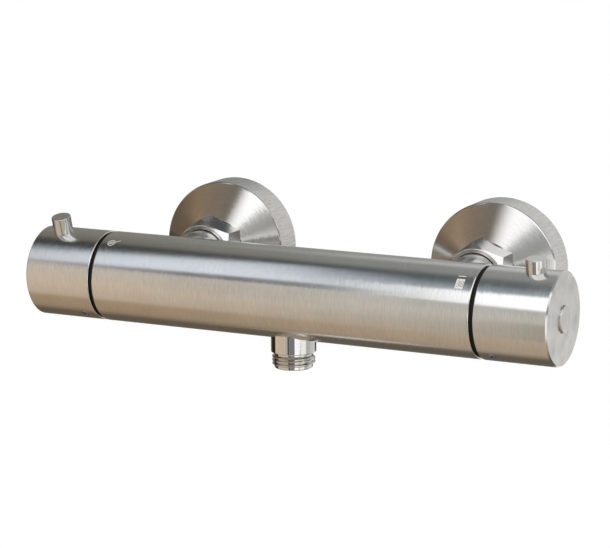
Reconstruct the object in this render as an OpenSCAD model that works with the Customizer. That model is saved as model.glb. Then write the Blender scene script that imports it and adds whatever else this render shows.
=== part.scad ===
// Bar type thermostatic shower valve.
// The bar lies along X and +Y points to the wall.  The origin is on the wall plane, midway
// between the axes of the two wall tails.  Lengths are in millimetres.

/* [Bar] */
// Outer diameter of the bar and of both handles
bar_d = 44.5; // [43.5:0.5:48]
// Wall of the bar tube
tube_wall = 1.75; // [1.5:0.05:1.9]
// Bevel on the rims of the tube and of the handles
edge_bevel = 0.4; // [0.2:0.1:0.8]

/* [Inlets] */
// Distance between the two inlet axes
inlet_pitch = 150; // [146:1:153]
// Distance from each inlet axis to the near end of the bar tube
inlet_end = 25; // [24:0.5:28]
// Distance from the finished wall to the axis of the bar
bar_distance = 86; // [83:1:95]
// Height of the inlet axes above the axis of the bar
inlet_rise = 5; // [2:0.5:6]
// Offset of the wall tail above the union nut
tail_offset = 6; // [3:0.5:8]
// Wall of the inlet necks
neck_wall = 2.5; // [2.2:0.1:2.7]

/* [Handles] */
// Length of each handle
handle_length = 36; // [34:1:44]
// Gap between a handle and the bar
seam_gap = 2; // [1.6:0.1:3]
// Wall of the handle cups
handle_wall = 2.5; // [2:0.1:3]
// Thickness of the handle end plates
end_plate_t = 3.2; // [2.6:0.1:4]
// Diameter of the pins on the handles
pin_d = 9.6; // [8:0.2:11]
// Height of the pin on the temperature handle
temp_pin_h = 5.9; // [4:0.1:12]
// Height of the pin on the flow handle
flow_pin_h = 8.2; // [4:0.1:12]
// Distance from the pin axis to the free end of the handle
pin_end_gap = 12.6; // [9:0.2:16]
// Lean of the temperature pin towards the user at rest, in degrees
temp_pin_lean = 7; // [0:1:20]
// Lean of the flow pin towards the user at rest, in degrees
flow_pin_lean = 15; // [0:1:20]
// Diameter of the override button
button_d = 12.4; // [11:0.2:13.4]
// Height of the button above the handle end
button_proud = 1; // [0.6:0.1:1.6]
// Diameter of the grub screws
grub_d = 4; // [3:0.5:4.5]

/* [Union nuts and rosettes] */
// Wall of the union nuts between their bore and their flats
nut_wall = 1.7; // [1.7:0.1:2.4]
// Step of the lip that holds the union nuts on their necks
nut_lip_step = 1.3; // [1.1:0.1:1.5]
// Length of the union nuts
nut_length = 15.4; // [14.6:0.2:17]
// Distance from the flats in to the edge of the round front face of the union nuts
nut_face_step = 0.7; // [0.4:0.1:1]
// Turn of the union nuts from corner up, in degrees
nut_turn = 8; // [0:1:30]
// Diameter of the rosettes
rosette_d = 66.7; // [60:0.5:75]
// Length of the straight band of the rosettes
rosette_band = 16.3; // [12:0.1:18]
// Rise of the rosette cone in front of its band
rosette_rise = 8; // [6:0.2:10]
// Sheet thickness of the rosettes
rosette_sheet = 1; // [0.8:0.1:1.5]

/* [Threads] */
// Major diameter of the three quarter inch pipe thread
union_thread_d = 26.44; // [26.4:0.02:26.5]
// Major diameter of the half inch pipe thread
tail_thread_d = 20.955; // [20.9:0.005:21]
// Pitch of both pipe threads
thread_pitch = 1.814; // [1.7:0.01:1.9]
// Depth of both pipe threads
thread_depth = 1.16; // [1:0.02:1.2]
// Reach of the wall tails behind the wall plane
tail_reach = 18; // [14:1:24]
// Wall of the wall tails up to the crests of the thread
tail_wall = 4; // [3.4:0.1:4.4]

/* [Outlet] */
// Drop of the hose outlet below the bar
outlet_drop = 14.2; // [13:0.2:18]
// Length of the plain collar under the bar
outlet_collar = 6.4; // [5:0.2:7]
// Wall of the hose outlet up to the crests of the thread
outlet_wall = 3; // [2.6:0.1:3.6]
// Step of the plain collar outside the thread
outlet_step = 0.5; // [0.4:0.1:0.8]

/* [Cartridges] */
// Distance from the tube end to the cold windows of the thermostat
window_depth = 25; // [24.6:0.1:25.4]
// Distance from the cold windows to the inner end of the thermostat
cartridge_reach = 21; // [20.5:0.1:22]
// Distance from the tube end to the seal of the ceramic discs
disc_depth = 40; // [39:0.5:44]
// Wall of the threaded sockets in the tube ends
socket_wall = 3.3; // [3:0.1:3.6]
// Step of the flange outside both cartridges
flange_step = 2.1; // [1.9:0.1:2.3]
// Wall of the thermostat housing
cartridge_wall = 2.6; // [2.4:0.1:2.8]
// Step from the thermostat housing in to its nose
nose_step = 2.2; // [2:0.1:2.6]
// Depth of the flange of both cartridges below the tube end
flange_depth = 13.8; // [13.4:0.1:14.4]
// Radius of the spindles
spindle_r = 5; // [4.6:0.1:5.4]
// Tip radius of the spindle splines
spline_r = 4.2; // [3.8:0.1:4.4]
// Radius of the ceramic discs
disc_r = 9.4; // [9:0.1:9.8]
// Thickness of each ceramic disc
disc_t = 3; // [2.6:0.1:3.4]

/* [Travel] */
// Turn of the temperature handle towards hot, in degrees
temp_turn_hot = 90; // [60:5:100]
// Turn of the temperature handle towards cold, in degrees
temp_turn_cold = 150; // [90:5:160]
// Turn of the flow handle from shut to open, in degrees
flow_turn_open = 90; // [80:5:120]
// Travel of the override button
button_travel = 1.8; // [1:0.1:2.2]
// Opening travel of the check valve poppets
poppet_travel = 2.4; // [1.5:0.1:2.6]

/* [Clearances] */
// Clearance between pieces that are screwed, brazed or pressed together
joint_gap = 0.05; // [0.02:0.01:0.08]
// Radial running clearance of shafts in their bores
running_gap = 0.08; // [0.05:0.01:0.1]
// Clearance between loose neighbours
loose_gap = 0.3; // [0.2:0.05:0.4]

/* [Hidden] */
$fn = 72;

// Overrun of every cut
over = 2;

// Colours
steel = [0.72, 0.71, 0.69];
bright_steel = [0.84, 0.84, 0.84];
brass_tone = [0.79, 0.66, 0.36];
dark_plastic = [0.16, 0.16, 0.17];
pale_plastic = [0.82, 0.83, 0.84];
rubber_tone = [0.1, 0.1, 0.1];
ceramic_tone = [0.93, 0.92, 0.88];
spring_tone = [0.62, 0.64, 0.67];

// Places of the bar and of the nuts
bar_r = bar_d / 2;
tube_bore_r = bar_r - tube_wall;
bar_y = -bar_distance;
nut_z = -tail_offset;
bar_z = nut_z - inlet_rise;
inlet_x = inlet_pitch / 2;
body_end = inlet_x + inlet_end;
body_length = 2 * body_end;
knob_start = body_end + seam_gap;
knob_end = knob_start + handle_length;
pin_x = knob_end - pin_end_gap;

// Shares of the thread pitch where a crest starts and ends and a root starts and ends
crest_shares = [0.3, 0.55, 0.85, 1];

// Union nuts, as distances from the wall
rosette_front = rosette_band + rosette_rise;
nut_back = rosette_front + loose_gap;
nut_front = nut_back + nut_length;
nut_bore_r = union_thread_d / 2 + running_gap;
nut_flat_r = nut_bore_r + nut_wall;
nut_corner_r = nut_flat_r / cos(30);
nut_face_r = nut_flat_r - nut_face_step;
nut_chamfer_share = 1.25;
nut_chamfer = (nut_corner_r - nut_face_r) * nut_chamfer_share;
nut_lip_t = 2.4;
neck_r = nut_bore_r - nut_lip_step;
neck_bore_r = neck_r - neck_wall;
nut_lip_r = neck_r + loose_gap;

// Clip, strainer and washer inside the nuts
clip_t = 1;
clip_groove = 0.7;
clip_back = nut_front - nut_lip_t - loose_gap - clip_t;
neck_end = clip_back - clip_t;
strainer_t = 0.4;
strainer_fit = 1.2;
strainer_cup_r = neck_bore_r - strainer_fit;
strainer_cup_t = 0.5;
strainer_depth = 3.4;
strainer_hole_r = 0.8;
washer_t = 2;
washer_front = neck_end - strainer_t - 2 * joint_gap;

// Eccentric unions and rosettes
union_front = washer_front - washer_t - joint_gap;
union_wall = 4.6;
union_bore_r = union_thread_d / 2 - union_wall;
union_step = 12;
tail_r = tail_thread_d / 2;
tail_bore_r = tail_r - tail_wall;
tail_start = 5;
crank_wall = 1.4;
rosette_r = rosette_d / 2;
rosette_hole_r = union_thread_d / 2 + loose_gap;
rosette_seat_r = nut_corner_r + loose_gap;

// Rubber rings
seal_fit = 0.2;
seal_groove = 1.5;
seal_groove_w = 2.2;
seal_section = seal_groove + seal_fit - 2 * joint_gap;

// Thermostat housing, measured from the middle of the bar
flange_r = tube_bore_r - socket_wall - loose_gap;
cartridge_r = flange_r - flange_step;
cartridge_bore_r = cartridge_r - cartridge_wall;
nose_r = cartridge_r - nose_step;
cold_window_x = body_end - window_depth;
nose_start = cold_window_x - cartridge_reach;
nose_length = 6.5;
nose_wall = 2;
nose_bore_r = nose_r - nose_wall;
main_start = nose_start + nose_length;
window_r = 2;
window_count = 6;
window_pitch = 11;
hot_window_x = cold_window_x - window_pitch;
flange_x = body_end - flange_depth;
flange_t = 3;
housing_neck_r = 9;
housing_setback = 0.8;
housing_end = body_end - housing_setback;
hex_af = 17.6;
hex_setback = 3.2;
hex_floor = 1.6;
hex_start = cold_window_x + hex_setback;
hex_end = flange_x - hex_floor;
nose_seal_x = nose_start + nose_length / 2;
mid_seal_x = (cold_window_x + hot_window_x) / 2;

// Threaded sockets and ring nuts
socket_ledge = 3.9;
socket_depth = 2.7;
socket_start = flange_x - socket_ledge;
socket_end = body_end - socket_depth;
socket_thread_r = flange_r + loose_gap;
socket_seat_r = cartridge_r + seal_fit;
outer_seal_x = (socket_start + flange_x) / 2;
ring_nut_t = 6.6;
ring_nut_x = flange_x + flange_t + joint_gap;
ring_nut_slot = 4;

// Regulating group of the thermostat
window_cover = 1.2;
shuttle_r = cartridge_bore_r - running_gap;
shuttle_start = hot_window_x + window_r - window_cover;
shuttle_end = cold_window_x - window_r + window_cover;
shuttle_web_t = 2;
shuttle_wall = 2;
shuttle_hole_r = 1.6;
shuttle_hole_count = 6;
wax_r = 4.2;
wax_setback = 4.4;
wax_start = nose_start + wax_setback;
wax_flange_r = 6;
wax_flange_t = 1.4;
wax_nose_gap = 0.6;
piston_r = 1.5;
cup_r = 8.2;
cup_wall = 1.2;
cup_gap = 0.6;
cup_setback = 3.9;
cup_start = shuttle_end + cup_gap;
cup_base = cold_window_x + cup_setback;
adjuster_play = 1.3;
adjuster_end = hex_end - adjuster_play;
screw_r = 3.9;
screw_gap = 0.6;
screw_start = cup_base + screw_gap;
collar_r = 6.5;
collar_t = 1.6;
collar_x = hex_end + running_gap;
overload_r = 5.4;
return_share = 0.59375;
return_r = wax_r + (nose_bore_r - wax_r) * return_share;
spring_wire = 1.2;
spring_turns = 4;

// Waterway core
core_r = tube_bore_r - loose_gap;
core_right = socket_start - loose_gap;
core_left = body_end - disc_depth;
pocket_r = cartridge_r + seal_fit;
nose_pocket_r = nose_r + seal_fit;
pocket_floor = nose_start - 2 * loose_gap;
chamber_share = 8 / 13;
chamber_r = pocket_r + (core_r - pocket_r) * chamber_share;
chamber_w = 6.4;
channel_r = 3.6;
channel_offset = 5.2;
hot_channel_r = 2.7;
hot_channel_offset = 16.2;
cold_port_r = 6;
outlet_port_step = 1;
outlet_bore_r = tail_r - outlet_wall;
outlet_port_r = outlet_bore_r - outlet_port_step;
outlet_channel_end = 4;
core_seal_groove = 1.6;
core_seal_w = 2.6;
core_seal_section = core_seal_groove + loose_gap - 2 * joint_gap;
core_seal_inset = 4;
core_seal_nose_inset = 6;
core_seal_end_inset = 2.4;
core_seal_stations = [
    core_seal_inset - core_left, nose_start - core_seal_nose_inset, core_right - core_seal_end_inset
];

// Flow headwork, measured from the middle of the bar towards the flow handle
disc_seal_t = 2;
disc_seal_x = core_left + joint_gap;
fixed_x = disc_seal_x + disc_seal_t + joint_gap;
moving_x = fixed_x + disc_t + running_gap;
driver_x = moving_x + disc_t + running_gap;
driver_t = 2.4;
driver_bore_x = driver_x + driver_t + running_gap;
headwork_r = 12.5;
tongue_w = 4;
tongue_h = 1.2;
port_share = 0.46;
port_angle = 70;

// Spindles
spline_setback = 2.2;
spline_start = body_end + spline_setback;
spline_length = 13.8;
spindle_end = spline_start + spline_length;
spline_teeth = 18;
spline_depth = 0.5;
spindle_seal_depth = 7;
spindle_seal_x = body_end - spindle_seal_depth;
spindle_groove = 1.1;
spindle_groove_w = 1.9;
spindle_seal_section = spindle_groove + running_gap - 2 * joint_gap;

// Adaptors, hubs and turn stops
adaptor_r = 7.9;
adaptor_setback = 1.9;
adaptor_start = body_end + adaptor_setback;
adaptor_cover = 1;
adaptor_end = spindle_end + adaptor_cover;
hub_bore_r = adaptor_r + joint_gap;
hub_r = 12;
hub_setback = 4;
hub_start = knob_start + hub_setback;
stop_ring_r = 13.5;
stop_setback = 0.9;
stop_start = ring_nut_x + ring_nut_t + loose_gap;
stop_end = body_end - stop_setback;
stop_lug_r = 10.6;
stop_lug_reach = 2.3;
stop_lug_end = body_end + stop_lug_reach;
adaptor_lug_r = 13;
adaptor_lug_start = stop_end + loose_gap;
lug_angle = 30;
stop_play = 1;

// Glide rings in the seams
glide_inset = 0.95;
glide_wall = 1.6;
glide_r = bar_r - glide_inset;
glide_bore_r = tube_bore_r - glide_wall;
glide_spigot_r = tube_bore_r - joint_gap;
glide_start = socket_end + loose_gap;
glide_end = knob_start - loose_gap;

// Grub screws
grub_r = grub_d / 2;
grub_setback = 6.7;
grub_x = knob_start + grub_setback;
grub_lean = 50;
grub_recess = 1.3;
grub_boss_wall = 1.6;
grub_boss_r = grub_r + grub_boss_wall;
grub_socket_af = grub_d / 2;
grub_socket_depth = 2.2;

// Pins
shank_r = 2.5;
shank_reach = 2.2;
shank_start = bar_r - handle_wall - shank_reach;
pin_bevel = 0.3;

// Override button
button_r = button_d / 2;
button_play = 0.25;
button_flange_r = hub_bore_r - button_play;
button_flange_t = 1.5;
button_flange_end = knob_end - end_plate_t - running_gap;
button_stem_r = 2;
button_stem_start = adaptor_end + button_travel + loose_gap;
button_spring_r = 5.4;
button_spring_wire = 0.8;
button_spring_turns = 5;

// Check valves, as distances from the wall
cage_gap = 2.2;
cage_r = neck_bore_r - joint_gap;
cage_back = neck_end + strainer_depth + cage_gap;
cage_wall = 1.6;
cage_seat_t = 1.4;
poppet_gap = 1.25;
poppet_r = cage_r - cage_wall - poppet_gap;
seat_width = 1.2;
seat_hole_r = poppet_r - seat_width;
poppet_t = 1.4;
poppet_back = cage_back + cage_seat_t + joint_gap;
poppet_stem_r = 1.5;
poppet_tip = 6.6;
spring_block = 4.35;
spider_t = 1.4;
cage_front = poppet_back + poppet_t + poppet_travel + spring_block + spider_t;
spider_hub_r = 3.2;
spider_arm_w = 1.8;
spider_arms = 3;
check_spring_step = 2.4;
check_spring_r = poppet_r - check_spring_step;
check_wire = 0.7;
check_turns = 4;

// Corners and sectors of the turn stops, where 180 points up and 270 to the user
temp_stop_mid = (temp_turn_hot - temp_turn_cold) / 2;
temp_stop_spread = 360 - temp_turn_hot - temp_turn_cold - lug_angle - 2 * stop_play;
flow_stop_mid = flow_turn_open / 2;
flow_stop_spread = 360 - flow_turn_open - lug_angle - 2 * stop_play;

// Point on a circle
function polar(r, a) = [r * cos(a), r * sin(a)];

// Outline of a ring section: inner and outer radius, start and end along the axis
function section(r1, r2, z1, z2) = [[r1, z1], [r2, z1], [r2, z2], [r1, z2]];

// Thread crests between two stations, as a flank list on the outside of a turned outline
function crests(r, z1, z2, pitch, depth) = [
    for (i = [0 : floor((z2 - z1) / pitch) - 1])
        for (k = [0 : len(crest_shares) - 1])
            [k < 2 ? r : r - depth, z1 + (i + crest_shares[k]) * pitch]
];

// Serrated outline of a spline
function spline_outline(tip, depth, teeth) = [
    for (i = [0 : 2 * teeth - 1]) polar(i % 2 == 0 ? tip : tip - depth, i * 180 / teeth)
];

// Centre line of a coil spring and the rings of its wire
function coil_ring(r, wire, turns, length, t, sides) = [
    for (k = [0 : sides - 1])
        let (a = t * turns * 360, b = k * 360 / sides, rr = r + wire / 2 * cos(b))
            [rr * cos(a), rr * sin(a), wire / 2 + t * (length - wire) + wire / 2 * sin(b)]
];

// A spring of round wire that stands on Z
module coil(r, wire, turns, length) {
    sides = 6;
    steps = turns * 14;
    points = [for (i = [0 : steps]) each coil_ring(r, wire, turns, length, i / steps, sides)];
    walls = [
        for (i = [0 : steps - 1])
            for (k = [0 : sides - 1])
                let (a = i * sides + k, b = i * sides + (k + 1) % sides)
                    each [[a, a + sides, b], [b, a + sides, b + sides]]
    ];
    first = [for (k = [0 : sides - 1]) k];
    last = [for (k = [0 : sides - 1]) (steps + 1) * sides - 1 - k];
    polyhedron(points, concat(walls, [first, last]), convexity = 8);
}

// Frame of the bar: local Z runs along +X from the middle of the bar
module on_bar(x = 0) {
    translate([x, bar_y, bar_z])
        rotate([0, 90, 0])
            children();
}

// Frame of one inlet: local Z runs from the wall towards the user and local Y points up
module on_inlet(side) {
    translate([side * inlet_x, 0, nut_z])
        rotate([90, 0, 0])
            children();
}

// Copy of the right hand end on the left hand end
module to_left() {
    mirror([1, 0, 0]) children();
}

// Solid of revolution round the bar from an outline of radius and station
module turned(outline) {
    on_bar() rotate_extrude() polygon(outline);
}

// Solid of revolution round an inlet from an outline of radius and distance from the wall
module turned_inlet(side, outline) {
    on_inlet(side) rotate_extrude() polygon(outline);
}

// Rubber ring round the bar axis with its inner radius and station
module rubber_ring(inner_r, x, wire) {
    on_bar(x)
        rotate_extrude()
            translate([inner_r + wire / 2, 0])
                circle(d = wire, $fn = 24);
}

// Radial holes through a wall round the bar axis
module radial_holes(count, x, r, hole_r) {
    for (i = [0 : count - 1])
        on_bar(x)
            rotate([0, 0, i * 360 / count])
                rotate([0, 90, 0])
                    cylinder(r = hole_r, h = r + over, $fn = 32);
}

// Sector of a ring, lying flat, centred on an angle
module ring_sector(r1, r2, mid, spread, h) {
    linear_extrude(height = h)
        intersection() {
            difference() {
                circle(r = r2);
                circle(r = r1);
            }
            polygon(concat([[0, 0]], [for (i = [-2 : 2]) polar(2 * r2, mid + i * spread / 4)]));
        }
}

// Bar tube with holes for the two necks and the outlet
module body_tube() {
    color(steel)
        difference() {
            on_bar() rotate_extrude() polygon([
                [tube_bore_r, -body_end], [bar_r - edge_bevel, -body_end], [bar_r, edge_bevel - body_end],
                [bar_r, body_end - edge_bevel], [bar_r - edge_bevel, body_end], [tube_bore_r, body_end]
            ]);
            for (side = [-1, 1])
                translate([side * inlet_x, bar_y + bar_r + over, nut_z])
                    rotate([90, 0, 0])
                        cylinder(r = neck_bore_r, h = bar_r + over);
            translate([0, bar_y, bar_z - bar_r - over])
                cylinder(r = outlet_bore_r, h = bar_r + over);
        }
}

// Core with the hot, cold and mixed channels, and a pocket for the thermostat
module waterway_core() {
    color(pale_plastic)
        difference() {
            turned(section(0, core_r, -core_left, core_right));
            turned(section(0, nose_pocket_r, pocket_floor, core_right + over));
            turned(section(0, pocket_r, main_start - loose_gap, core_right + over));
            for (x = [hot_window_x, cold_window_x])
                turned(section(pocket_r - over, chamber_r, x - chamber_w / 2, x + chamber_w / 2));
            for (x = core_seal_stations)
                turned(section(
                    core_r - core_seal_groove, core_r + over, x - core_seal_w / 2, x + core_seal_w / 2
                ));
            translate([-core_left - over, bar_y, bar_z + channel_offset])
                rotate([0, 90, 0])
                    cylinder(r = channel_r, h = pocket_floor + core_left + 2 * over, $fn = 48);
            translate([-core_left - over, bar_y, bar_z - channel_offset])
                rotate([0, 90, 0])
                    cylinder(r = channel_r, h = core_left + over + outlet_channel_end, $fn = 48);
            translate([-core_left - over, bar_y, bar_z + hot_channel_offset])
                rotate([0, 90, 0])
                    cylinder(r = hot_channel_r, h = core_left + over + hot_window_x, $fn = 48);
            translate([0, bar_y, bar_z - bar_r])
                cylinder(r = outlet_port_r, h = bar_r - channel_offset);
            translate([inlet_x, bar_y + bar_r, nut_z])
                rotate([90, 0, 0])
                    cylinder(r = cold_port_r, h = bar_r - cartridge_bore_r);
        }
}

// Rubber rings that part the hot, cold and dry spaces round the core
module core_seals() {
    color(rubber_tone)
        for (x = core_seal_stations)
            rubber_ring(core_r - core_seal_groove + joint_gap, x, core_seal_section);
}

// Threaded socket brazed into one end of the tube
module socket() {
    color(brass_tone)
        turned([
            [socket_seat_r, socket_start], [tube_bore_r - joint_gap, socket_start],
            [tube_bore_r - joint_gap, socket_end], [socket_thread_r, socket_end],
            [socket_thread_r, flange_x - joint_gap], [socket_seat_r, flange_x - joint_gap]
        ]);
}

module socket_right() {
    socket();
}

module socket_left() {
    to_left() socket();
}

// Neck welded to the back of the bar, with the groove of the nut clip
module inlet_neck(side) {
    color(bright_steel)
        difference() {
            turned_inlet(side, [
                [neck_bore_r, neck_end], [neck_r - edge_bevel, neck_end], [neck_r, neck_end + edge_bevel],
                [neck_r, clip_back - joint_gap], [neck_r - clip_groove, clip_back - joint_gap],
                [neck_r - clip_groove, clip_back + clip_t + joint_gap],
                [neck_r, clip_back + clip_t + joint_gap], [neck_r, bar_distance], [neck_bore_r, bar_distance]
            ]);
            on_bar(-body_end) cylinder(r = bar_r + joint_gap, h = body_length);
        }
}

module inlet_neck_left() {
    inlet_neck(-1);
}

module inlet_neck_right() {
    inlet_neck(1);
}

// Captive hexagon nut with a round chamfered face towards the user
module union_nut(side) {
    color(bright_steel)
        on_inlet(side)
            difference() {
                intersection() {
                    translate([0, 0, nut_back])
                        rotate([0, 0, 90 + nut_turn])
                            cylinder(r = nut_corner_r, h = nut_length, $fn = 6);
                    rotate_extrude() polygon([
                        [0, nut_back], [nut_corner_r - edge_bevel, nut_back],
                        [nut_corner_r + edge_bevel, nut_back + edge_bevel],
                        [nut_corner_r + edge_bevel, nut_front - nut_chamfer - edge_bevel],
                        [nut_face_r + edge_bevel / 2, nut_front - edge_bevel / 2],
                        [nut_face_r - edge_bevel / 2, nut_front], [0, nut_front]
                    ]);
                }
                translate([0, 0, nut_back - over])
                    cylinder(r = nut_bore_r, h = nut_length + over - nut_lip_t);
                translate([0, 0, nut_back])
                    cylinder(r = nut_lip_r, h = nut_length + over);
            }
}

module union_nut_left() {
    union_nut(-1);
}

module union_nut_right() {
    union_nut(1);
}

// Split wire clip that holds the nut on its neck
module nut_clip(side) {
    color(spring_tone)
        on_inlet(side)
            difference() {
                rotate_extrude()
                    polygon(section(
                        neck_r - clip_groove + joint_gap, nut_bore_r - loose_gap,
                        clip_back, clip_back + clip_t
                    ));
                translate([0, -neck_r, clip_back])
                    cube([clip_t, neck_r, 3 * clip_t], center = true);
            }
}

module nut_clip_left() {
    nut_clip(-1);
}

module nut_clip_right() {
    nut_clip(1);
}

// Eccentric union: large thread for the nut, cranked body, small tail for the wall fitting
module s_union(side) {
    crank_r = tail_r + crank_wall;
    union_r = union_thread_d / 2;
    union_root_r = union_r - thread_depth;
    tail_root_r = tail_r - thread_depth;
    tail_length = tail_start + tail_reach;
    color(brass_tone)
        difference() {
            union() {
                turned_inlet(side, concat(
                    [[0, union_step], [union_root_r, union_step]],
                    crests(union_r, union_step, union_front - thread_pitch / 2, thread_pitch, thread_depth),
                    [[union_root_r, union_front], [0, union_front]]
                ));
                translate([side * inlet_x, -union_step, nut_z])
                    rotate([-90, 0, 0])
                        cylinder(r = union_root_r, h = union_step - tail_start);
                translate([side * inlet_x, -union_step, 0])
                    rotate([-90, 0, 0])
                        cylinder(r = crank_r, h = union_step - tail_start);
                translate([side * inlet_x, -tail_start, 0])
                    rotate([-90, 0, 0])
                        rotate_extrude() polygon(concat(
                            [[0, 0], [tail_root_r, 0]],
                            crests(tail_r, 0, tail_length - thread_pitch / 2, thread_pitch, thread_depth),
                            [[tail_root_r, tail_length], [0, tail_length]]
                        ));
            }
            on_inlet(side)
                translate([0, 0, tail_start + (union_step - tail_start) / 3])
                    cylinder(r = union_bore_r, h = union_front);
            translate([side * inlet_x, -union_step, 0])
                rotate([-90, 0, 0])
                    cylinder(r = tail_bore_r, h = union_step + tail_reach + over);
        }
}

module s_union_left() {
    s_union(-1);
}

module s_union_right() {
    s_union(1);
}

// Drawn cover plate: straight band, shallow cone and a flat seat behind the nut
module rosette(side) {
    slope = atan(rosette_rise / (rosette_r - rosette_seat_r));
    shift = rosette_sheet / cos(slope);
    color(steel)
        turned_inlet(side, [
            [rosette_r - rosette_sheet, 0], [rosette_r, 0], [rosette_r, rosette_band - edge_bevel],
            [rosette_r - edge_bevel, rosette_band], [rosette_seat_r, rosette_front],
            [rosette_hole_r, rosette_front], [rosette_hole_r, rosette_front - rosette_sheet],
            [rosette_seat_r, rosette_front - shift],
            [rosette_r - rosette_sheet, rosette_band - shift + rosette_sheet * tan(slope)]
        ]);
}

module rosette_left() {
    rosette(-1);
}

module rosette_right() {
    rosette(1);
}

// Flat fibre washer between the neck and the union
module inlet_washer(side) {
    color(dark_plastic)
        turned_inlet(side, section(
            union_bore_r, nut_bore_r - loose_gap, union_front + joint_gap, washer_front
        ));
}

module inlet_washer_left() {
    inlet_washer(-1);
}

module inlet_washer_right() {
    inlet_washer(1);
}

// Perforated steel cup that keeps grit out of the valve
module strainer(side) {
    cup_floor = neck_end + strainer_depth;
    cup_bore_r = strainer_cup_r - strainer_cup_t;
    rim = neck_end - joint_gap;
    color(spring_tone)
        on_inlet(side)
            difference() {
                rotate_extrude() polygon([
                    [cup_bore_r, rim - strainer_t], [neck_r - edge_bevel, rim - strainer_t],
                    [neck_r - edge_bevel, rim], [strainer_cup_r, rim], [strainer_cup_r, cup_floor],
                    [0, cup_floor], [0, cup_floor - strainer_cup_t], [cup_bore_r, cup_floor - strainer_cup_t]
                ]);
                for (ring = [1 : 2])
                    for (i = [0 : 6 * ring - 1])
                        rotate([0, 0, i * 60 / ring])
                            translate([ring * strainer_cup_r / 3, 0, cup_floor - over])
                                cylinder(r = strainer_hole_r, h = 2 * over, $fn = 16);
            }
}

module strainer_left() {
    strainer(-1);
}

module strainer_right() {
    strainer(1);
}

// Cage of the check valve: a seat on the wall side and a spider that guides the stem
module check_cage(side) {
    color(pale_plastic)
        on_inlet(side) {
            rotate_extrude() polygon([
                [seat_hole_r, cage_back], [cage_r, cage_back], [cage_r, cage_front],
                [cage_r - cage_wall, cage_front], [cage_r - cage_wall, cage_back + cage_seat_t],
                [seat_hole_r, cage_back + cage_seat_t]
            ]);
            translate([0, 0, cage_front - spider_t])
                difference() {
                    union() {
                        cylinder(r = spider_hub_r, h = spider_t);
                        for (i = [0 : spider_arms - 1])
                            rotate([0, 0, 90 + i * 360 / spider_arms])
                                translate([0, -spider_arm_w / 2, 0])
                                    cube([cage_r - cage_wall / 2, spider_arm_w, spider_t]);
                    }
                    translate([0, 0, -over])
                        cylinder(r = poppet_stem_r + running_gap, h = spider_t + 2 * over, $fn = 32);
                }
        }
}

module check_cage_left() {
    check_cage(-1);
}

module check_cage_right() {
    check_cage(1);
}

// Poppet that closes against the seat
module check_poppet(side) {
    color(dark_plastic)
        turned_inlet(side, [
            [0, poppet_back], [poppet_r - edge_bevel, poppet_back], [poppet_r, poppet_back + edge_bevel],
            [poppet_r, poppet_back + poppet_t], [poppet_stem_r, poppet_back + poppet_t],
            [poppet_stem_r, poppet_back + poppet_t + poppet_tip], [0, poppet_back + poppet_t + poppet_tip]
        ]);
}

module check_poppet_left() {
    check_poppet(-1);
}

module check_poppet_right() {
    check_poppet(1);
}

// Light spring that shuts the poppet
module check_spring(side) {
    start = poppet_back + poppet_t + joint_gap;
    color(spring_tone)
        on_inlet(side)
            translate([0, 0, start])
                coil(check_spring_r, check_wire, check_turns, cage_front - spider_t - joint_gap - start);
}

module check_spring_left() {
    check_spring(-1);
}

module check_spring_right() {
    check_spring(1);
}

// Hose outlet welded under the bar: polished collar, then the thread
module outlet_nipple() {
    collar = tail_r + outlet_step;
    thread_top = bar_r + outlet_collar;
    drop = bar_r + outlet_drop;
    color(bright_steel)
        difference() {
            translate([0, bar_y, bar_z])
                rotate([180, 0, 0])
                    rotate_extrude() polygon(concat(
                        [[outlet_bore_r, bar_r / 2], [collar, bar_r / 2],
                         [collar, thread_top - edge_bevel], [tail_r - thread_depth, thread_top]],
                        crests(tail_r, thread_top, drop - thread_pitch / 4, thread_pitch, thread_depth),
                        [[tail_r - thread_depth, drop], [outlet_bore_r, drop]]
                    ));
            on_bar(-body_end) cylinder(r = bar_r + joint_gap, h = body_length);
        }
}

// Thermostat housing: nose, sealed body with windows, flange and spindle neck
module thermostat_housing() {
    color(pale_plastic)
        difference() {
            turned([
                [0, nose_start], [nose_r, nose_start], [nose_r, main_start], [cartridge_r, main_start],
                [cartridge_r, flange_x], [flange_r, flange_x], [flange_r, flange_x + flange_t],
                [housing_neck_r, flange_x + flange_t], [housing_neck_r, housing_end], [0, housing_end]
            ]);
            turned(section(0, wax_r + wax_nose_gap, nose_start - over, nose_start + nose_wall + over));
            turned(section(0, nose_bore_r, nose_start + nose_wall, hex_start));
            turned(section(0, cartridge_bore_r, main_start, hex_start));
            on_bar(hex_start - over)
                cylinder(d = hex_af / cos(30), h = hex_end - hex_start + over, $fn = 6);
            turned(section(0, collar_r + running_gap, hex_end - over, hex_end + collar_t + 2 * running_gap));
            turned(section(0, spindle_r + running_gap, hex_end, housing_end + over));
            radial_holes(window_count, hot_window_x, cartridge_r, window_r);
            radial_holes(window_count, cold_window_x, cartridge_r, window_r);
            turned(section(
                nose_r - seal_groove, nose_r + over, nose_seal_x - seal_groove_w / 2,
                nose_seal_x + seal_groove_w / 2
            ));
            for (x = [mid_seal_x, outer_seal_x])
                turned(section(
                    cartridge_r - seal_groove, cartridge_r + over,
                    x - seal_groove_w / 2, x + seal_groove_w / 2
                ));
        }
}

// Threaded ring with two spanner slots that clamps a cartridge flange
module ring_nut() {
    color(brass_tone)
        difference() {
            turned(section(
                housing_neck_r + loose_gap, socket_thread_r - running_gap, ring_nut_x, ring_nut_x + ring_nut_t
            ));
            on_bar(ring_nut_x + ring_nut_t)
                cube([ring_nut_slot, 2 * socket_thread_r + over, ring_nut_t], center = true);
        }
}

module thermostat_ring_nut() {
    ring_nut();
}

module headwork_ring_nut() {
    to_left() ring_nut();
}

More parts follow.
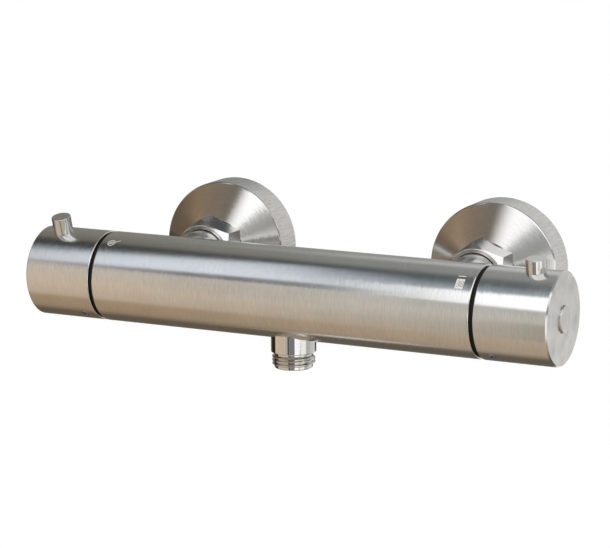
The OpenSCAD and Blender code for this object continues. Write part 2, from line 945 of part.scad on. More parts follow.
// Rubber rings in the grooves of the thermostat housing
module thermostat_seals() {
    color(rubber_tone) {
        rubber_ring(nose_r - seal_groove + joint_gap, nose_seal_x, seal_section);
        for (x = [mid_seal_x, outer_seal_x])
            rubber_ring(cartridge_r - seal_groove + joint_gap, x, seal_section);
    }
}

// Sliding sleeve that opens hot while it closes cold
module shuttle() {
    spoke_r = (wax_flange_r + shuttle_r - shuttle_wall) / 2;
    color(brass_tone)
        difference() {
            turned([
                [wax_r + joint_gap, shuttle_start], [shuttle_r, shuttle_start], [shuttle_r, shuttle_end],
                [shuttle_r - shuttle_wall, shuttle_end],
                [shuttle_r - shuttle_wall, shuttle_start + shuttle_web_t],
                [wax_r + joint_gap, shuttle_start + shuttle_web_t]
            ]);
            for (i = [0 : shuttle_hole_count - 1])
                on_bar(shuttle_start - over)
                    rotate([0, 0, i * 360 / shuttle_hole_count])
                        translate([spoke_r, 0, 0])
                            cylinder(r = shuttle_hole_r, h = shuttle_web_t + 2 * over, $fn = 24);
        }
}

// Wax capsule with its flange and piston
module wax_element() {
    flange_start = shuttle_start + shuttle_web_t + joint_gap;
    color(brass_tone)
        turned([
            [0, wax_start], [wax_r - edge_bevel, wax_start], [wax_r, wax_start + edge_bevel],
            [wax_r, flange_start], [wax_flange_r, flange_start],
            [wax_flange_r, flange_start + wax_flange_t], [piston_r, flange_start + wax_flange_t],
            [piston_r, cup_base - 2 * loose_gap], [0, cup_base - 2 * loose_gap]
        ]);
}

// Adjusting nut: a cup for the overload spring and a hexagon that cannot turn
module adjusting_nut() {
    color(brass_tone)
        difference() {
            union() {
                turned(section(0, cup_r, cup_start, cup_base + over));
                on_bar(cup_base)
                    cylinder(d = (hex_af - 2 * loose_gap) / cos(30), h = adjuster_end - cup_base, $fn = 6);
            }
            turned(section(0, cup_r - cup_wall, cup_start - over, cup_base));
            turned(section(0, screw_r + running_gap, cup_base - over, adjuster_end + over));
        }
}

// Stiff spring that gives when the wax has expanded too far
module overload_spring() {
    start = shuttle_start + shuttle_web_t + wax_flange_t + 2 * joint_gap;
    color(spring_tone)
        on_bar(start)
            coil(overload_r, spring_wire, spring_turns, cup_base - joint_gap - start);
}

// Spring that pushes the shuttle back from the hot side
module return_spring() {
    start = nose_start + nose_wall + joint_gap;
    color(spring_tone)
        on_bar(start)
            coil(return_r, spring_wire, spring_turns, shuttle_start - joint_gap - start);
}

// Flow headwork housing: open end for the discs, flange and spindle neck
module headwork_housing() {
    color(brass_tone)
        to_left()
            difference() {
                turned([
                    [0, fixed_x], [headwork_r, fixed_x], [headwork_r, socket_start - loose_gap],
                    [cartridge_r, socket_start - loose_gap], [cartridge_r, flange_x], [flange_r, flange_x],
                    [flange_r, flange_x + flange_t], [housing_neck_r, flange_x + flange_t],
                    [housing_neck_r, housing_end], [0, housing_end]
                ]);
                turned(section(0, disc_r + running_gap, fixed_x - over, driver_bore_x));
                turned(section(0, spindle_r + running_gap, fixed_x, housing_end + over));
                turned(section(
                    cartridge_r - seal_groove, cartridge_r + over,
                    outer_seal_x - seal_groove_w / 2, outer_seal_x + seal_groove_w / 2
                ));
            }
}

// Rubber ring in the groove of the headwork housing
module headwork_seal() {
    color(rubber_tone)
        to_left() rubber_ring(cartridge_r - seal_groove + joint_gap, outer_seal_x, seal_section);
}

// Two ports through a disc, one above and one below the axis
module disc_ports(x, t, mid) {
    for (a = [mid, mid + 180])
        on_bar(x - over)
            ring_sector(disc_r * port_share / 2, disc_r * (1 - port_share / 2), a, port_angle, t + 2 * over);
}

// Rubber seal between the core and the fixed disc
module disc_seal() {
    color(rubber_tone)
        to_left()
            difference() {
                turned(section(0, disc_r, disc_seal_x, disc_seal_x + disc_seal_t));
                disc_ports(disc_seal_x, disc_seal_t, 0);
            }
}

// Fixed ceramic disc
module fixed_disc() {
    color(ceramic_tone)
        to_left()
            difference() {
                turned(section(0, disc_r, fixed_x, fixed_x + disc_t));
                disc_ports(fixed_x, disc_t, 0);
            }
}

// Turning ceramic disc: a hollow that joins the two ports when it is turned, and a driving slot
module moving_disc() {
    color(ceramic_tone)
        to_left()
            difference() {
                turned(section(0, disc_r - running_gap, moving_x, moving_x + disc_t));
                on_bar(moving_x - over)
                    cylinder(r = disc_r * port_share / 2, h = over + disc_t / 2);
                for (a = [90, 270])
                    on_bar(moving_x - over)
                        ring_sector(0, disc_r * (1 - port_share / 2), a, port_angle, over + disc_t / 2);
                on_bar(moving_x + disc_t - tongue_h - loose_gap)
                    translate([-tongue_w / 2 - joint_gap, -disc_r - over, 0])
                        cube([tongue_w + 2 * joint_gap, 2 * disc_r + 2 * over, tongue_h + loose_gap + over]);
            }
}

// Ring on the cartridge neck with the lug that ends the turn of a handle
module stop_ring(lug_mid, lug_spread) {
    color(dark_plastic)
        union() {
            turned(section(housing_neck_r + joint_gap, stop_ring_r, stop_start, stop_end));
            on_bar(stop_start)
                ring_sector(stop_lug_r, stop_ring_r, lug_mid, lug_spread, stop_lug_end - stop_start);
        }
}

module temp_stop_ring() {
    stop_ring(temp_stop_mid, temp_stop_spread);
}

module flow_stop_ring() {
    to_left() stop_ring(flow_stop_mid, flow_stop_spread);
}

// Dark ring that fills the seam between the bar and a handle
module glide_ring() {
    color(dark_plastic)
        turned([
            [glide_bore_r, glide_start], [glide_spigot_r, glide_start],
            [glide_spigot_r, body_end + joint_gap], [glide_r, body_end + joint_gap],
            [glide_r, glide_end], [glide_bore_r, glide_end]
        ]);
}

module glide_ring_right() {
    glide_ring();
}

module glide_ring_left() {
    to_left() glide_ring();
}

// Radial frame on the bar: local Z points away from the axis, leaning from straight up
module radial(x, lean) {
    translate([x, bar_y, bar_z])
        rotate([lean, 0, 0])
            children();
}

// Handle cup with its hub and the holes for pin and grub screw
module knob(pin_lean, open_end) {
    color(steel)
        difference() {
            union() {
                turned([
                    [bar_r - handle_wall, knob_start], [bar_r - edge_bevel, knob_start],
                    [bar_r, knob_start + edge_bevel], [bar_r, knob_end - edge_bevel],
                    [bar_r - edge_bevel, knob_end], [0, knob_end], [0, knob_end - end_plate_t],
                    [hub_bore_r, knob_end - end_plate_t], [hub_bore_r, hub_start], [hub_r, hub_start],
                    [hub_r, knob_end - end_plate_t], [bar_r - handle_wall, knob_end - end_plate_t]
                ]);
                radial(grub_x, 90 + grub_lean)
                    translate([0, 0, (hub_r + hub_bore_r) / 2])
                        cylinder(r = grub_boss_r, h = bar_r - handle_wall / 2 - (hub_r + hub_bore_r) / 2);
            }
            radial(grub_x, 90 + grub_lean)
                translate([0, 0, hub_bore_r - over])
                    cylinder(r = grub_r + joint_gap, h = bar_r + over);
            radial(pin_x, pin_lean)
                translate([0, 0, shank_start - over])
                    cylinder(r = shank_r + joint_gap, h = bar_r + over);
            if (open_end)
                turned(section(0, button_r + running_gap, knob_end - end_plate_t - over, knob_end + over));
        }
}

// Pin standing on a handle, with a shank through the wall
module handle_pin(lean, height) {
    top = bar_r + height;
    color(bright_steel)
        difference() {
            radial(pin_x, lean)
                rotate_extrude() polygon([
                    [0, shank_start], [shank_r, shank_start], [shank_r, bar_r - handle_wall / 2],
                    [pin_d / 2, bar_r - handle_wall / 2], [pin_d / 2, top - pin_bevel],
                    [pin_d / 2 - pin_bevel, top], [0, top]
                ]);
            difference() {
                on_bar(knob_start) cylinder(r = bar_r + joint_gap, h = handle_length);
                radial(pin_x, lean) cylinder(r = shank_r, h = top);
            }
        }
}

// Splined sleeve between a spindle and its handle, with the stop lug
module adaptor(lug_mid) {
    web_t = hub_start - loose_gap - adaptor_start;
    lug_length = adaptor_start + web_t - adaptor_lug_start;
    color(dark_plastic)
        difference() {
            union() {
                turned(section(0, adaptor_r, adaptor_start, adaptor_end));
                on_bar(adaptor_start)
                    ring_sector(adaptor_r / 2, adaptor_lug_r, lug_mid, lug_angle, web_t);
                on_bar(adaptor_lug_start)
                    ring_sector(stop_lug_r, adaptor_lug_r, lug_mid, lug_angle, lug_length);
            }
            on_bar(adaptor_start - over)
                linear_extrude(height = adaptor_end - adaptor_start + 2 * over)
                    polygon(spline_outline(spline_r + joint_gap, spline_depth, spline_teeth));
            turned(section(0, spindle_r + loose_gap, adaptor_start - over, spline_start + loose_gap));
        }
}

// Grub screw with a hexagon socket
module grub_screw() {
    top = bar_r - grub_recess;
    bottom = adaptor_r + joint_gap;
    color(spring_tone)
        radial(grub_x, 90 + grub_lean)
            difference() {
                rotate_extrude() polygon([
                    [0, bottom], [grub_r - edge_bevel, bottom], [grub_r, bottom + edge_bevel],
                    [grub_r, top - edge_bevel], [grub_r - edge_bevel, top], [0, top]
                ]);
                translate([0, 0, top - grub_socket_depth])
                    cylinder(d = grub_socket_af / cos(30), h = grub_socket_depth + over, $fn = 6);
            }
}

// Splined end and sealed shaft that both spindles share
module spindle_shaft(start) {
    difference() {
        turned(section(0, spindle_r, start, spline_start));
        turned(section(
            spindle_r - spindle_groove, spindle_r + over, spindle_seal_x - spindle_groove_w / 2,
            spindle_seal_x + spindle_groove_w / 2
        ));
    }
    on_bar(spline_start)
        linear_extrude(height = spindle_end - spline_start)
            polygon(spline_outline(spline_r, spline_depth, spline_teeth));
}

module spindle_seal() {
    color(rubber_tone)
        rubber_ring(spindle_r - spindle_groove + joint_gap, spindle_seal_x, spindle_seal_section);
}

module temp_knob() {
    knob(temp_pin_lean, true);
}

module temp_pin() {
    handle_pin(temp_pin_lean, temp_pin_h);
}

module temp_adaptor() {
    adaptor(180);
}

module temp_grub_screw() {
    grub_screw();
}

// Temperature spindle: screw for the adjusting nut, thrust collar, shaft and spline
module temp_spindle() {
    color(brass_tone)
        union() {
            turned(concat(
                [[0, screw_start], [screw_r - thread_depth / 2, screw_start]],
                crests(screw_r, screw_start, collar_x, thread_pitch, thread_depth / 2),
                [[screw_r - thread_depth / 2, collar_x], [collar_r, collar_x],
                 [collar_r, collar_x + collar_t], [0, collar_x + collar_t]]
            ));
            spindle_shaft(collar_x + collar_t);
        }
}

module temp_spindle_seal() {
    spindle_seal();
}

// Push button in the end of the temperature handle
module override_button() {
    head_start = button_flange_end - button_flange_t;
    top = knob_end + button_proud;
    color(bright_steel)
        turned([
            [0, button_stem_start], [button_stem_r, button_stem_start], [button_stem_r, head_start],
            [button_flange_r, head_start], [button_flange_r, button_flange_end],
            [button_r, button_flange_end], [button_r, top - pin_bevel], [button_r - pin_bevel, top], [0, top]
        ]);
}

// Spring behind the button
module button_spring() {
    start = adaptor_end + joint_gap;
    length = button_flange_end - button_flange_t - joint_gap - start;
    color(spring_tone)
        on_bar(start)
            coil(button_spring_r, button_spring_wire, button_spring_turns, length);
}

module flow_knob() {
    to_left() knob(flow_pin_lean, false);
}

module flow_pin() {
    to_left() handle_pin(flow_pin_lean, flow_pin_h);
}

module flow_adaptor() {
    to_left() adaptor(180);
}

module flow_grub_screw() {
    to_left() grub_screw();
}

// Flow spindle: driving tongue, driver plate, shaft and spline
module flow_spindle() {
    color(brass_tone)
        to_left() {
            turned(section(0, disc_r - loose_gap, driver_x, driver_x + driver_t));
            on_bar(driver_x - tongue_h)
                translate([-tongue_w / 2, -disc_r * (1 - port_share / 2), 0])
                    cube([tongue_w, 2 * disc_r * (1 - port_share / 2), tongue_h]);
            spindle_shaft(driver_x + driver_t);
        }
}

module flow_spindle_seal() {
    to_left() spindle_seal();
}

body_tube();
waterway_core();
core_seals();
socket_left();
socket_right();
inlet_neck_left();
inlet_neck_right();
union_nut_left();
union_nut_right();
nut_clip_left();
nut_clip_right();
s_union_left();
s_union_right();
rosette_left();
rosette_right();
inlet_washer_left();
inlet_washer_right();
strainer_left();
strainer_right();
check_cage_left();
check_cage_right();
check_poppet_left();
check_poppet_right();
check_spring_left();
check_spring_right();
outlet_nipple();
thermostat_housing();
thermostat_ring_nut();
thermostat_seals();
shuttle();
wax_element();
adjusting_nut();
overload_spring();
return_spring();
headwork_housing();
headwork_ring_nut();
headwork_seal();
disc_seal();
fixed_disc();
moving_disc();
temp_stop_ring();
flow_stop_ring();
glide_ring_left();
glide_ring_right();
temp_knob();
temp_pin();
temp_adaptor();
temp_grub_screw();
temp_spindle();
temp_spindle_seal();
override_button();
button_spring();
flow_knob();
flow_pin();
flow_adaptor();
flow_grub_screw();
flow_spindle();
flow_spindle_seal();
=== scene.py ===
"""Looks of a bar type thermostatic shower valve in brushed stainless steel.

The bar lies along X, +Y points to the wall and +Z is up. Lengths are in metres.
"""

import logging
import math
from dataclasses import dataclass, field
from enum import Enum
from functools import reduce
from typing import Callable, Iterable, Optional, Sequence

import bmesh
import bpy
from mathutils import Matrix, Vector


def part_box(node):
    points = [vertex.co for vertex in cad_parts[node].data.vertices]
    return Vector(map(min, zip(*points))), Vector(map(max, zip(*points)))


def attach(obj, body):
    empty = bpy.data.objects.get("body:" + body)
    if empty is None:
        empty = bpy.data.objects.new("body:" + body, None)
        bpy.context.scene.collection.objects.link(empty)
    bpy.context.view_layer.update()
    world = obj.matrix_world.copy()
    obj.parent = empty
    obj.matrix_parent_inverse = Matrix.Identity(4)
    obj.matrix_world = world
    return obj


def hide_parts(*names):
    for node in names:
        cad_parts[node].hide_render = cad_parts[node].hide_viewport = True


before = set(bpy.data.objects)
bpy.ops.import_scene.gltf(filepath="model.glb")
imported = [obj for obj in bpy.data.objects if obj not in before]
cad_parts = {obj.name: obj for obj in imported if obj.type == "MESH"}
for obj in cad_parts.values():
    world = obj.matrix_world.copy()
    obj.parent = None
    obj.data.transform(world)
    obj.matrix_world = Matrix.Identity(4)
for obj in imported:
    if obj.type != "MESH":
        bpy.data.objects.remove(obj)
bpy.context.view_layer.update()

log = logging.getLogger("valve")

MM = 0.001
TURN = 2 * math.pi
FULL_STEPS = 256
SMALL_STEPS = 128
HOLE_STEPS = 48
SMOOTH_ANGLE = math.radians(32)
MERGE = 1e-7
SLIVER = 1e-8

Colour = tuple[float, float, float]
Point = tuple[float, float]
Outline = list[Point]
Stops = list[tuple[float, Colour]]
Socket = bpy.types.NodeSocket
Spot = tuple[Socket, ...]
Inputs = dict[str | int, object]

WHITE: Colour = (1.0, 1.0, 1.0)


class Side(Enum):
    """The two ends of the bar, as the sign of X."""

    LEFT = -1
    RIGHT = 1

    @property
    def label(self) -> str:
        """Name of the side as the frame's nodes spell it."""
        return self.name.lower()


def rgba(colour: Colour) -> tuple[float, float, float, float]:
    """Return a colour with full alpha."""
    return (*colour, 1.0)


# Node trees


class Graph:
    """A shorthand for adding and joining the nodes of one tree."""

    def __init__(self, tree: bpy.types.NodeTree) -> None:
        """Keep the tree that the nodes are added to."""
        self.tree = tree

    def put(self, node: bpy.types.Node, inputs: Inputs) -> bpy.types.Node:
        """Link or set inputs of a node.

        Args:
            node: The node.
            inputs: Another node's output or a plain value, by the input's name or number.

        Returns:
            The same node.
        """
        for key, value in inputs.items():
            if isinstance(value, Socket):
                self.tree.links.new(value, node.inputs[key])
            else:
                node.inputs[key].default_value = value
        return node

    def node(self, kind: str, inputs: Optional[Inputs] = None, **settings: object) -> bpy.types.Node:
        """Add a node.

        Args:
            kind: Blender's type name without the ShaderNode prefix.
            inputs: What its inputs get.
            settings: Attributes to set on the node.

        Returns:
            The new node.
        """
        prefix = "" if kind.startswith("Node") else "ShaderNode"
        node = self.tree.nodes.new(prefix + kind)
        for name, value in settings.items():
            setattr(node, name, value)
        return self.put(node, inputs or {})

    @property
    def place(self) -> Socket:
        """Object coordinates of the shaded point."""
        return self.node("TexCoord").outputs["Object"]

    def math(self, operation: str, *values: object, clamp: bool = False) -> Socket:
        """Add a Math node and return its result."""
        return self.node("Math", dict(enumerate(values)), operation=operation, use_clamp=clamp).outputs[0]

    def vector(self, operation: str, *values: object) -> Socket:
        """Add a Vector Math node and return its result, a number for lengths and dot products."""
        node = self.node("VectorMath", dict(enumerate(values)), operation=operation)
        return node.outputs["Value" if operation in ("LENGTH", "DOT_PRODUCT") else "Vector"]

    def scaled(self, vector: object, factor: object) -> Socket:
        """Multiply a vector by a number and return the result."""
        return self.node("VectorMath", {"Vector": vector, "Scale": factor}, operation="SCALE").outputs[0]

    def split(self, vector: object) -> Spot:
        """Return a vector's X, Y and Z."""
        return tuple(self.node("SeparateXYZ", {0: vector}).outputs)

    def spread(self, value: object, low: float, high: float, start: float = 0.0, end: float = 1.0,
               ease: bool = False) -> Socket:
        """Map a value to a new range.

        Args:
            value: The value to map.
            low: Result at start.
            high: Result at end.
            start: Value that gives low.
            end: Value that gives high.
            ease: Whether the change is smooth at both ends.

        Returns:
            The mapped value.
        """
        node = self.node(
            "MapRange", {"Value": value, "From Min": start, "From Max": end, "To Min": low, "To Max": high},
            interpolation_type="SMOOTHSTEP" if ease else "LINEAR")
        return node.outputs["Result"]

    def rise(self, value: Socket, start: float, end: float) -> Socket:
        """Return 0 before start and 1 past end, with a smooth change. It falls where end is the lower."""
        return self.spread(value, 0.0, 1.0, start, end, ease=True)

    def product(self, *factors: Socket) -> Socket:
        """Multiply numbers and return the result."""
        return reduce(lambda first, second: self.math("MULTIPLY", first, second), factors)

    def mix(self, factor: object, first: object, second: object) -> Socket:
        """Mix two colours and return the result."""
        node = self.node("Mix", {"Factor": factor, "A": first, "B": second}, data_type="RGBA")
        return node.outputs["Result"]

    def mix_shaders(self, factor: Socket, first: Socket, second: Socket) -> Socket:
        """Mix two shaders and return the result."""
        return self.node("MixShader", {0: factor, 1: first, 2: second}).outputs[0]

    def ramp(self, value: object, stops: Stops, low: float = 0.0, high: float = 1.0) -> Socket:
        """Colour a value by a ramp.

        Args:
            value: The value.
            stops: The value and the colour of each stop.
            low: Value at the ramp's start.
            high: Value at the ramp's end.

        Returns:
            The colour.
        """
        node = self.node("ValToRGB", {"Fac": self.spread(value, 0.0, 1.0, low, high)})
        elements = node.color_ramp.elements
        while len(elements) < len(stops):
            elements.new(1.0)
        for element, (at, colour) in zip(elements, stops):
            element.position = (at - low) / (high - low)
            element.color = rgba(colour)
        return node.outputs["Color"]


class Effect:
    """A shader node group that several finishes share."""

    def __init__(self, name: str, inputs: dict[str, object], outputs: dict[str, str]) -> None:
        """Make the group and its sockets.

        Args:
            name: Name of the group.
            inputs: Default value of each input, a float or a vector.
            outputs: Type of each output, Float or Vector.
        """
        self.tree = bpy.data.node_groups.new(name, "ShaderNodeTree")
        self.graph = Graph(self.tree)
        for label, default in inputs.items():
            kind = "Float" if isinstance(default, float) else "Vector"
            self.socket(label, "INPUT", kind).default_value = default
        for label, kind in outputs.items():
            self.socket(label, "OUTPUT", kind)
        self.given = self.graph.node("NodeGroupInput").outputs
        self.result = self.graph.node("NodeGroupOutput")

    def socket(self, label: str, way: str, kind: str) -> bpy.types.NodeTreeInterfaceSocket:
        """Add a socket to the group and return it."""
        return self.tree.interface.new_socket(name=label, in_out=way, socket_type="NodeSocket" + kind)

    def place(self, graph: Graph, inputs: Inputs) -> bpy.types.bpy_prop_collection:
        """Place the group in a material and return its outputs."""
        return graph.node("Group", inputs, node_tree=self.tree).outputs


def grain_effect() -> Effect:
    """Build the grain of brushing: fine across the strokes and long along them.

    Returns:
        A group that gives a streak value and a normal that wavers along the strokes.
    """
    effect = Effect(
        "brushing",
        {"Position": (0.0, 0.0, 0.0), "Station": 0.0, "Stroke": (0.0, 0.0, 1.0),
         "Fineness": 3500.0, "Length": 90.0, "Waver": 0.02},
        {"Streak": "Float", "Normal": "Vector"})
    graph, given = effect.graph, effect.given
    fine = graph.node("TexNoise", {
        "Vector": graph.scaled(given["Position"], given["Length"]),
        "W": graph.math("MULTIPLY", given["Station"], given["Fineness"]),
        "Detail": 3.0, "Roughness": 0.6}, noise_dimensions="4D")
    streak = graph.spread(fine.outputs["Fac"], 0.0, 1.0, 0.25, 0.75)
    tilt = graph.math("MULTIPLY", graph.math("SUBTRACT", streak, 0.5), given["Waver"])
    surface = graph.node("NewGeometry").outputs["Normal"]
    leaning = graph.vector("ADD", surface, graph.scaled(given["Stroke"], tilt))
    graph.put(effect.result, {"Streak": streak, "Normal": graph.vector("NORMALIZE", leaning)})
    return effect


def mottle_effect() -> Effect:
    """Build the faint cloudiness of handled metal and moulded plastic.

    Returns:
        A group that gives a slowly changing mask and a fine speckle.
    """
    effect = Effect("mottle", {"Position": (0.0, 0.0, 0.0), "Cloud": 60.0, "Speckle": 2200.0},
                    {"Cloud": "Float", "Speckle": "Float"})
    graph, given = effect.graph, effect.given
    for label in ("Cloud", "Speckle"):
        noise = graph.node("TexNoise", {"Vector": given["Position"], "Scale": given[label], "Detail": 2.0})
        graph.put(effect.result, {label: graph.spread(noise.outputs["Fac"], 0.0, 1.0, 0.3, 0.7)})
    return effect


GRAIN = grain_effect()
MOTTLE = mottle_effect()


# Finishes


def new_material(name: str) -> tuple[bpy.types.Material, Graph, bpy.types.Node]:
    """Make a material.

    Args:
        name: Name of the material.

    Returns:
        The material, its graph and its Principled BSDF.
    """
    material = bpy.data.materials.new(name)
    material.use_nodes = True
    return material, Graph(material.node_tree), material.node_tree.nodes["Principled BSDF"]


class Brushing(Enum):
    """How a steel surface was brushed."""

    ROUND = "strokes round an axis"
    RULED = "strokes along an axis, on a round surface"
    STRAIGHT = "strokes along a line"


@dataclass(frozen=True)
class Steel:
    """Brushed or turned stainless steel.

    Attributes:
        name: Name of the material.
        slot: The record's material slot; not used.
        origin: A point on the axis of the strokes.
        axis: Direction of the axis, or of straight strokes.
        brushing: Whether the strokes run round the axis or along it.
        base: Colour of the metal.
        roughness: Roughness on the crests and in the troughs of the grain.
        anisotropy: How far the strokes stretch a reflection across themselves.
        stretch_turn: Turn from the strokes to the way a reflection stretches, in full turns.
        fineness: Strokes per metre.
        length: Changes per metre along a stroke.
        waver: Tilt of single strokes.
        shade: Change of brightness from stroke to stroke.
        cloud_shade: Change of brightness from patch to patch.
        cloud_rough: Change of roughness from patch to patch.
    """

    name: str
    slot: str
    origin: Vector
    axis: Vector
    brushing: Brushing = Brushing.ROUND
    base: Colour = (0.64, 0.633, 0.62)
    roughness: tuple[float, float] = (0.15, 0.2)
    anisotropy: float = 0.7
    stretch_turn: float = 0.25
    fineness: float = 1250.0
    length: float = 60.0
    waver: float = 0.075
    shade: float = 0.14
    cloud_shade: float = 0.03
    cloud_rough: float = 0.01

    def build(self) -> bpy.types.Material:
        """Make the material.

        Returns:
            The new material.
        """
        material, graph, shader = new_material(self.name)
        place = graph.place
        station, stroke = self.directions(graph, graph.vector("SUBTRACT", place, tuple(self.origin)))
        stroke = graph.node("VectorTransform", {"Vector": stroke}, vector_type="VECTOR",
                            convert_from="OBJECT", convert_to="WORLD").outputs["Vector"]
        grain = GRAIN.place(graph, {
            "Position": place, "Station": station, "Stroke": stroke,
            "Fineness": self.fineness, "Length": self.length, "Waver": self.waver})
        cloud = MOTTLE.place(graph, {"Position": place})["Cloud"]
        rough = graph.spread(grain["Streak"], *self.roughness)
        tone = graph.spread(grain["Streak"], 1 - self.shade, 1 + self.shade)
        shade = graph.math("ADD", tone, graph.spread(cloud, -self.cloud_shade, self.cloud_shade))
        graph.put(shader, {
            "Metallic": 1.0, "Anisotropic": self.anisotropy, "Anisotropic Rotation": self.stretch_turn,
            "Roughness": graph.math("ADD", rough, graph.spread(cloud, -self.cloud_rough, self.cloud_rough)),
            "Base Color": graph.scaled(self.base, shade), "Normal": grain["Normal"], "Tangent": stroke})
        return material

    def directions(self, graph: Graph, spoke: Socket) -> tuple[Socket, Socket]:
        """Work out where a point lies across the strokes and which way its stroke runs.

        Args:
            graph: Tree of the material.
            spoke: Place of the point from the origin.

        Returns:
            The station across the strokes, and the stroke's unit vector.
        """
        axis = self.axis.normalized()
        side = axis.orthogonal().normalized()
        top = axis.cross(side)

        def part(way: Vector) -> Socket:
            """Return how far the point lies along a direction."""
            return graph.vector("DOT_PRODUCT", spoke, tuple(way))

        if self.brushing is Brushing.STRAIGHT:
            return graph.math("ADD", part(side), part(top)), self.constant(graph, axis)
        around = graph.vector("CROSS_PRODUCT", tuple(axis), spoke)
        reach = graph.vector("LENGTH", around)
        if self.brushing is Brushing.RULED:
            turn = graph.math("ARCTAN2", part(side), part(top))
            return graph.math("MULTIPLY", turn, reach), self.constant(graph, axis)
        return graph.math("SUBTRACT", reach, part(axis)), graph.vector("NORMALIZE", around)

    @staticmethod
    def constant(graph: Graph, vector: Vector) -> Socket:
        """Return a socket that gives a fixed vector."""
        return graph.node("CombineXYZ", dict(enumerate(vector))).outputs[0]


@dataclass(frozen=True)
class Plain:
    """A moulded, machined or lapped material without strokes.

    Attributes:
        name: Name of the material.
        slot: The record's material slot.
        base: Colour of the material.
        shade: Colour of its cloudy patches.
        roughness: Roughness between the speckles and on them.
        metallic: 1 for a metal, otherwise 0.
        grit: Height of the speckle in metres.
        relief: Strength of the speckle's bump.
        gloss: Level of the plain reflection, 0.5 for most materials.
    """

    name: str
    slot: str
    base: Colour
    shade: Colour
    roughness: tuple[float, float] = (0.4, 0.55)
    metallic: float = 0.0
    grit: float = 0.02 * MM
    relief: float = 0.6
    gloss: float = 0.5

    def build(self) -> bpy.types.Material:
        """Make the material.

        Returns:
            The new material.
        """
        material, graph, shader = new_material(self.name)
        mottle = MOTTLE.place(graph, {"Position": graph.place})
        bump = graph.node("Bump", {
            "Distance": self.grit, "Strength": self.relief, "Height": mottle["Speckle"]})
        graph.put(shader, {
            "Metallic": self.metallic, "Specular IOR Level": self.gloss,
            "Base Color": graph.mix(mottle["Cloud"], rgba(self.base), rgba(self.shade)),
            "Roughness": graph.spread(mottle["Speckle"], *self.roughness),
            "Normal": bump.outputs["Normal"]})
        return material


# Mesh making


@dataclass(frozen=True)
class Axis:
    """A line that pieces are turned round.

    Attributes:
        origin: The point from which stations are counted.
        along: Direction of the line.
        across: Direction in which outlines are drawn, square to the line.
    """

    origin: Vector
    along: Vector
    across: Vector

    def at(self, radius: float, station: float) -> Vector:
        """Return the place of an outline's point."""
        return self.origin + self.along * station + self.across * radius

    def radius(self, place: Vector) -> float:
        """Return how far a place lies from the line."""
        spoke = place - self.origin
        return (spoke - self.along * spoke.dot(self.along)).length

    def steel(self, name: str, slot: str, **changes: object) -> Steel:
        """Return a steel whose strokes follow the line."""
        return Steel(name, slot, self.origin, self.along, **changes)


def eased(corners: Sequence[tuple[float, float, float]], closed: bool = True, steps: int = 4) -> Outline:
    """Round the corners of an outline.

    Args:
        corners: Radius, station and rounding of each corner. No rounding leaves it sharp.
        closed: Whether the last corner joins the first.
        steps: Number of segments in each rounding.

    Returns:
        The points of the outline.
    """
    points: Outline = []
    count = len(corners)
    for i, (radius, station, ease) in enumerate(corners):
        here = Vector((radius, station))
        if ease <= 0 or (not closed and i in (0, count - 1)):
            points.append((radius, station))
            continue
        before = Vector(corners[i - 1][:2]) - here
        after = Vector(corners[(i + 1) % count][:2]) - here
        first = here + before.normalized() * min(ease, before.length / 2)
        last = here + after.normalized() * min(ease, after.length / 2)
        for k in range(steps + 1):
            t = k / steps
            spot = first * (1 - t) ** 2 + here * (2 * t * (1 - t)) + last * t ** 2
            points.append((spot.x, spot.y))
    return points


def smooth(mesh: bpy.types.Mesh) -> None:
    """Shade a mesh smooth, with sharp corners."""
    mesh.polygons.foreach_set("use_smooth", [True] * len(mesh.polygons))
    mesh.set_sharp_from_angle(angle=SMOOTH_ANGLE)


def to_object(name: str, bm: bmesh.types.BMesh) -> bpy.types.Object:
    """Turn a bmesh into an object at the origin.

    Args:
        name: Name of the object and its mesh.
        bm: The finished bmesh, which is freed.

    Returns:
        The new object.
    """
    mesh = bpy.data.meshes.new(name)
    bm.to_mesh(mesh)
    bm.free()
    smooth(mesh)
    piece = bpy.data.objects.new(name, mesh)
    bpy.context.scene.collection.objects.link(piece)
    return piece


def turned(axis: Axis, outline: Outline, closed: bool = True, steps: int = FULL_STEPS) -> bmesh.types.BMesh:
    """Turn an outline round an axis.

    Args:
        axis: The axis.
        outline: Radius and station of each point.
        closed: Whether the last point joins the first. An open outline ends on the axis.
        steps: Segments of the full turn.

    Returns:
        The closed solid of revolution.
    """
    bm = bmesh.new()
    verts = [bm.verts.new(axis.at(*point)) for point in outline]
    edges = [bm.edges.new(pair) for pair in zip(verts, verts[1:])]
    if closed:
        edges.append(bm.edges.new((verts[-1], verts[0])))
    bmesh.ops.spin(bm, geom=verts + edges, cent=axis.origin, axis=axis.along, dvec=(0, 0, 0),
                   angle=TURN, steps=steps, use_merge=True)
    bmesh.ops.remove_doubles(bm, verts=bm.verts, dist=MERGE)
    bmesh.ops.dissolve_degenerate(bm, dist=SLIVER, edges=bm.edges)
    bmesh.ops.recalc_face_normals(bm, faces=bm.faces)
    return bm


def lathe(name: str, axis: Axis, corners: Sequence[tuple[float, float, float]], closed: bool = True,
          steps: int = FULL_STEPS) -> bpy.types.Object:
    """Return a turned object, with the arguments that eased and turned take."""
    return to_object(name, turned(axis, eased(corners, closed), closed, steps))


def rod(axis: Axis, radius: float, start: float, end: float, steps: int = FULL_STEPS) -> bmesh.types.BMesh:
    """Return a plain cylinder on an axis."""
    return turned(axis, [(0, start), (radius, start), (radius, end), (0, end)], closed=False, steps=steps)


def thicken(bm: bmesh.types.BMesh, way: Vector) -> None:
    """Extrude every face of a bmesh by a vector."""
    grown = bmesh.ops.extrude_face_region(bm, geom=bm.faces[:])["geom"]
    bmesh.ops.translate(bm, vec=way, verts=[g for g in grown if isinstance(g, bmesh.types.BMVert)])


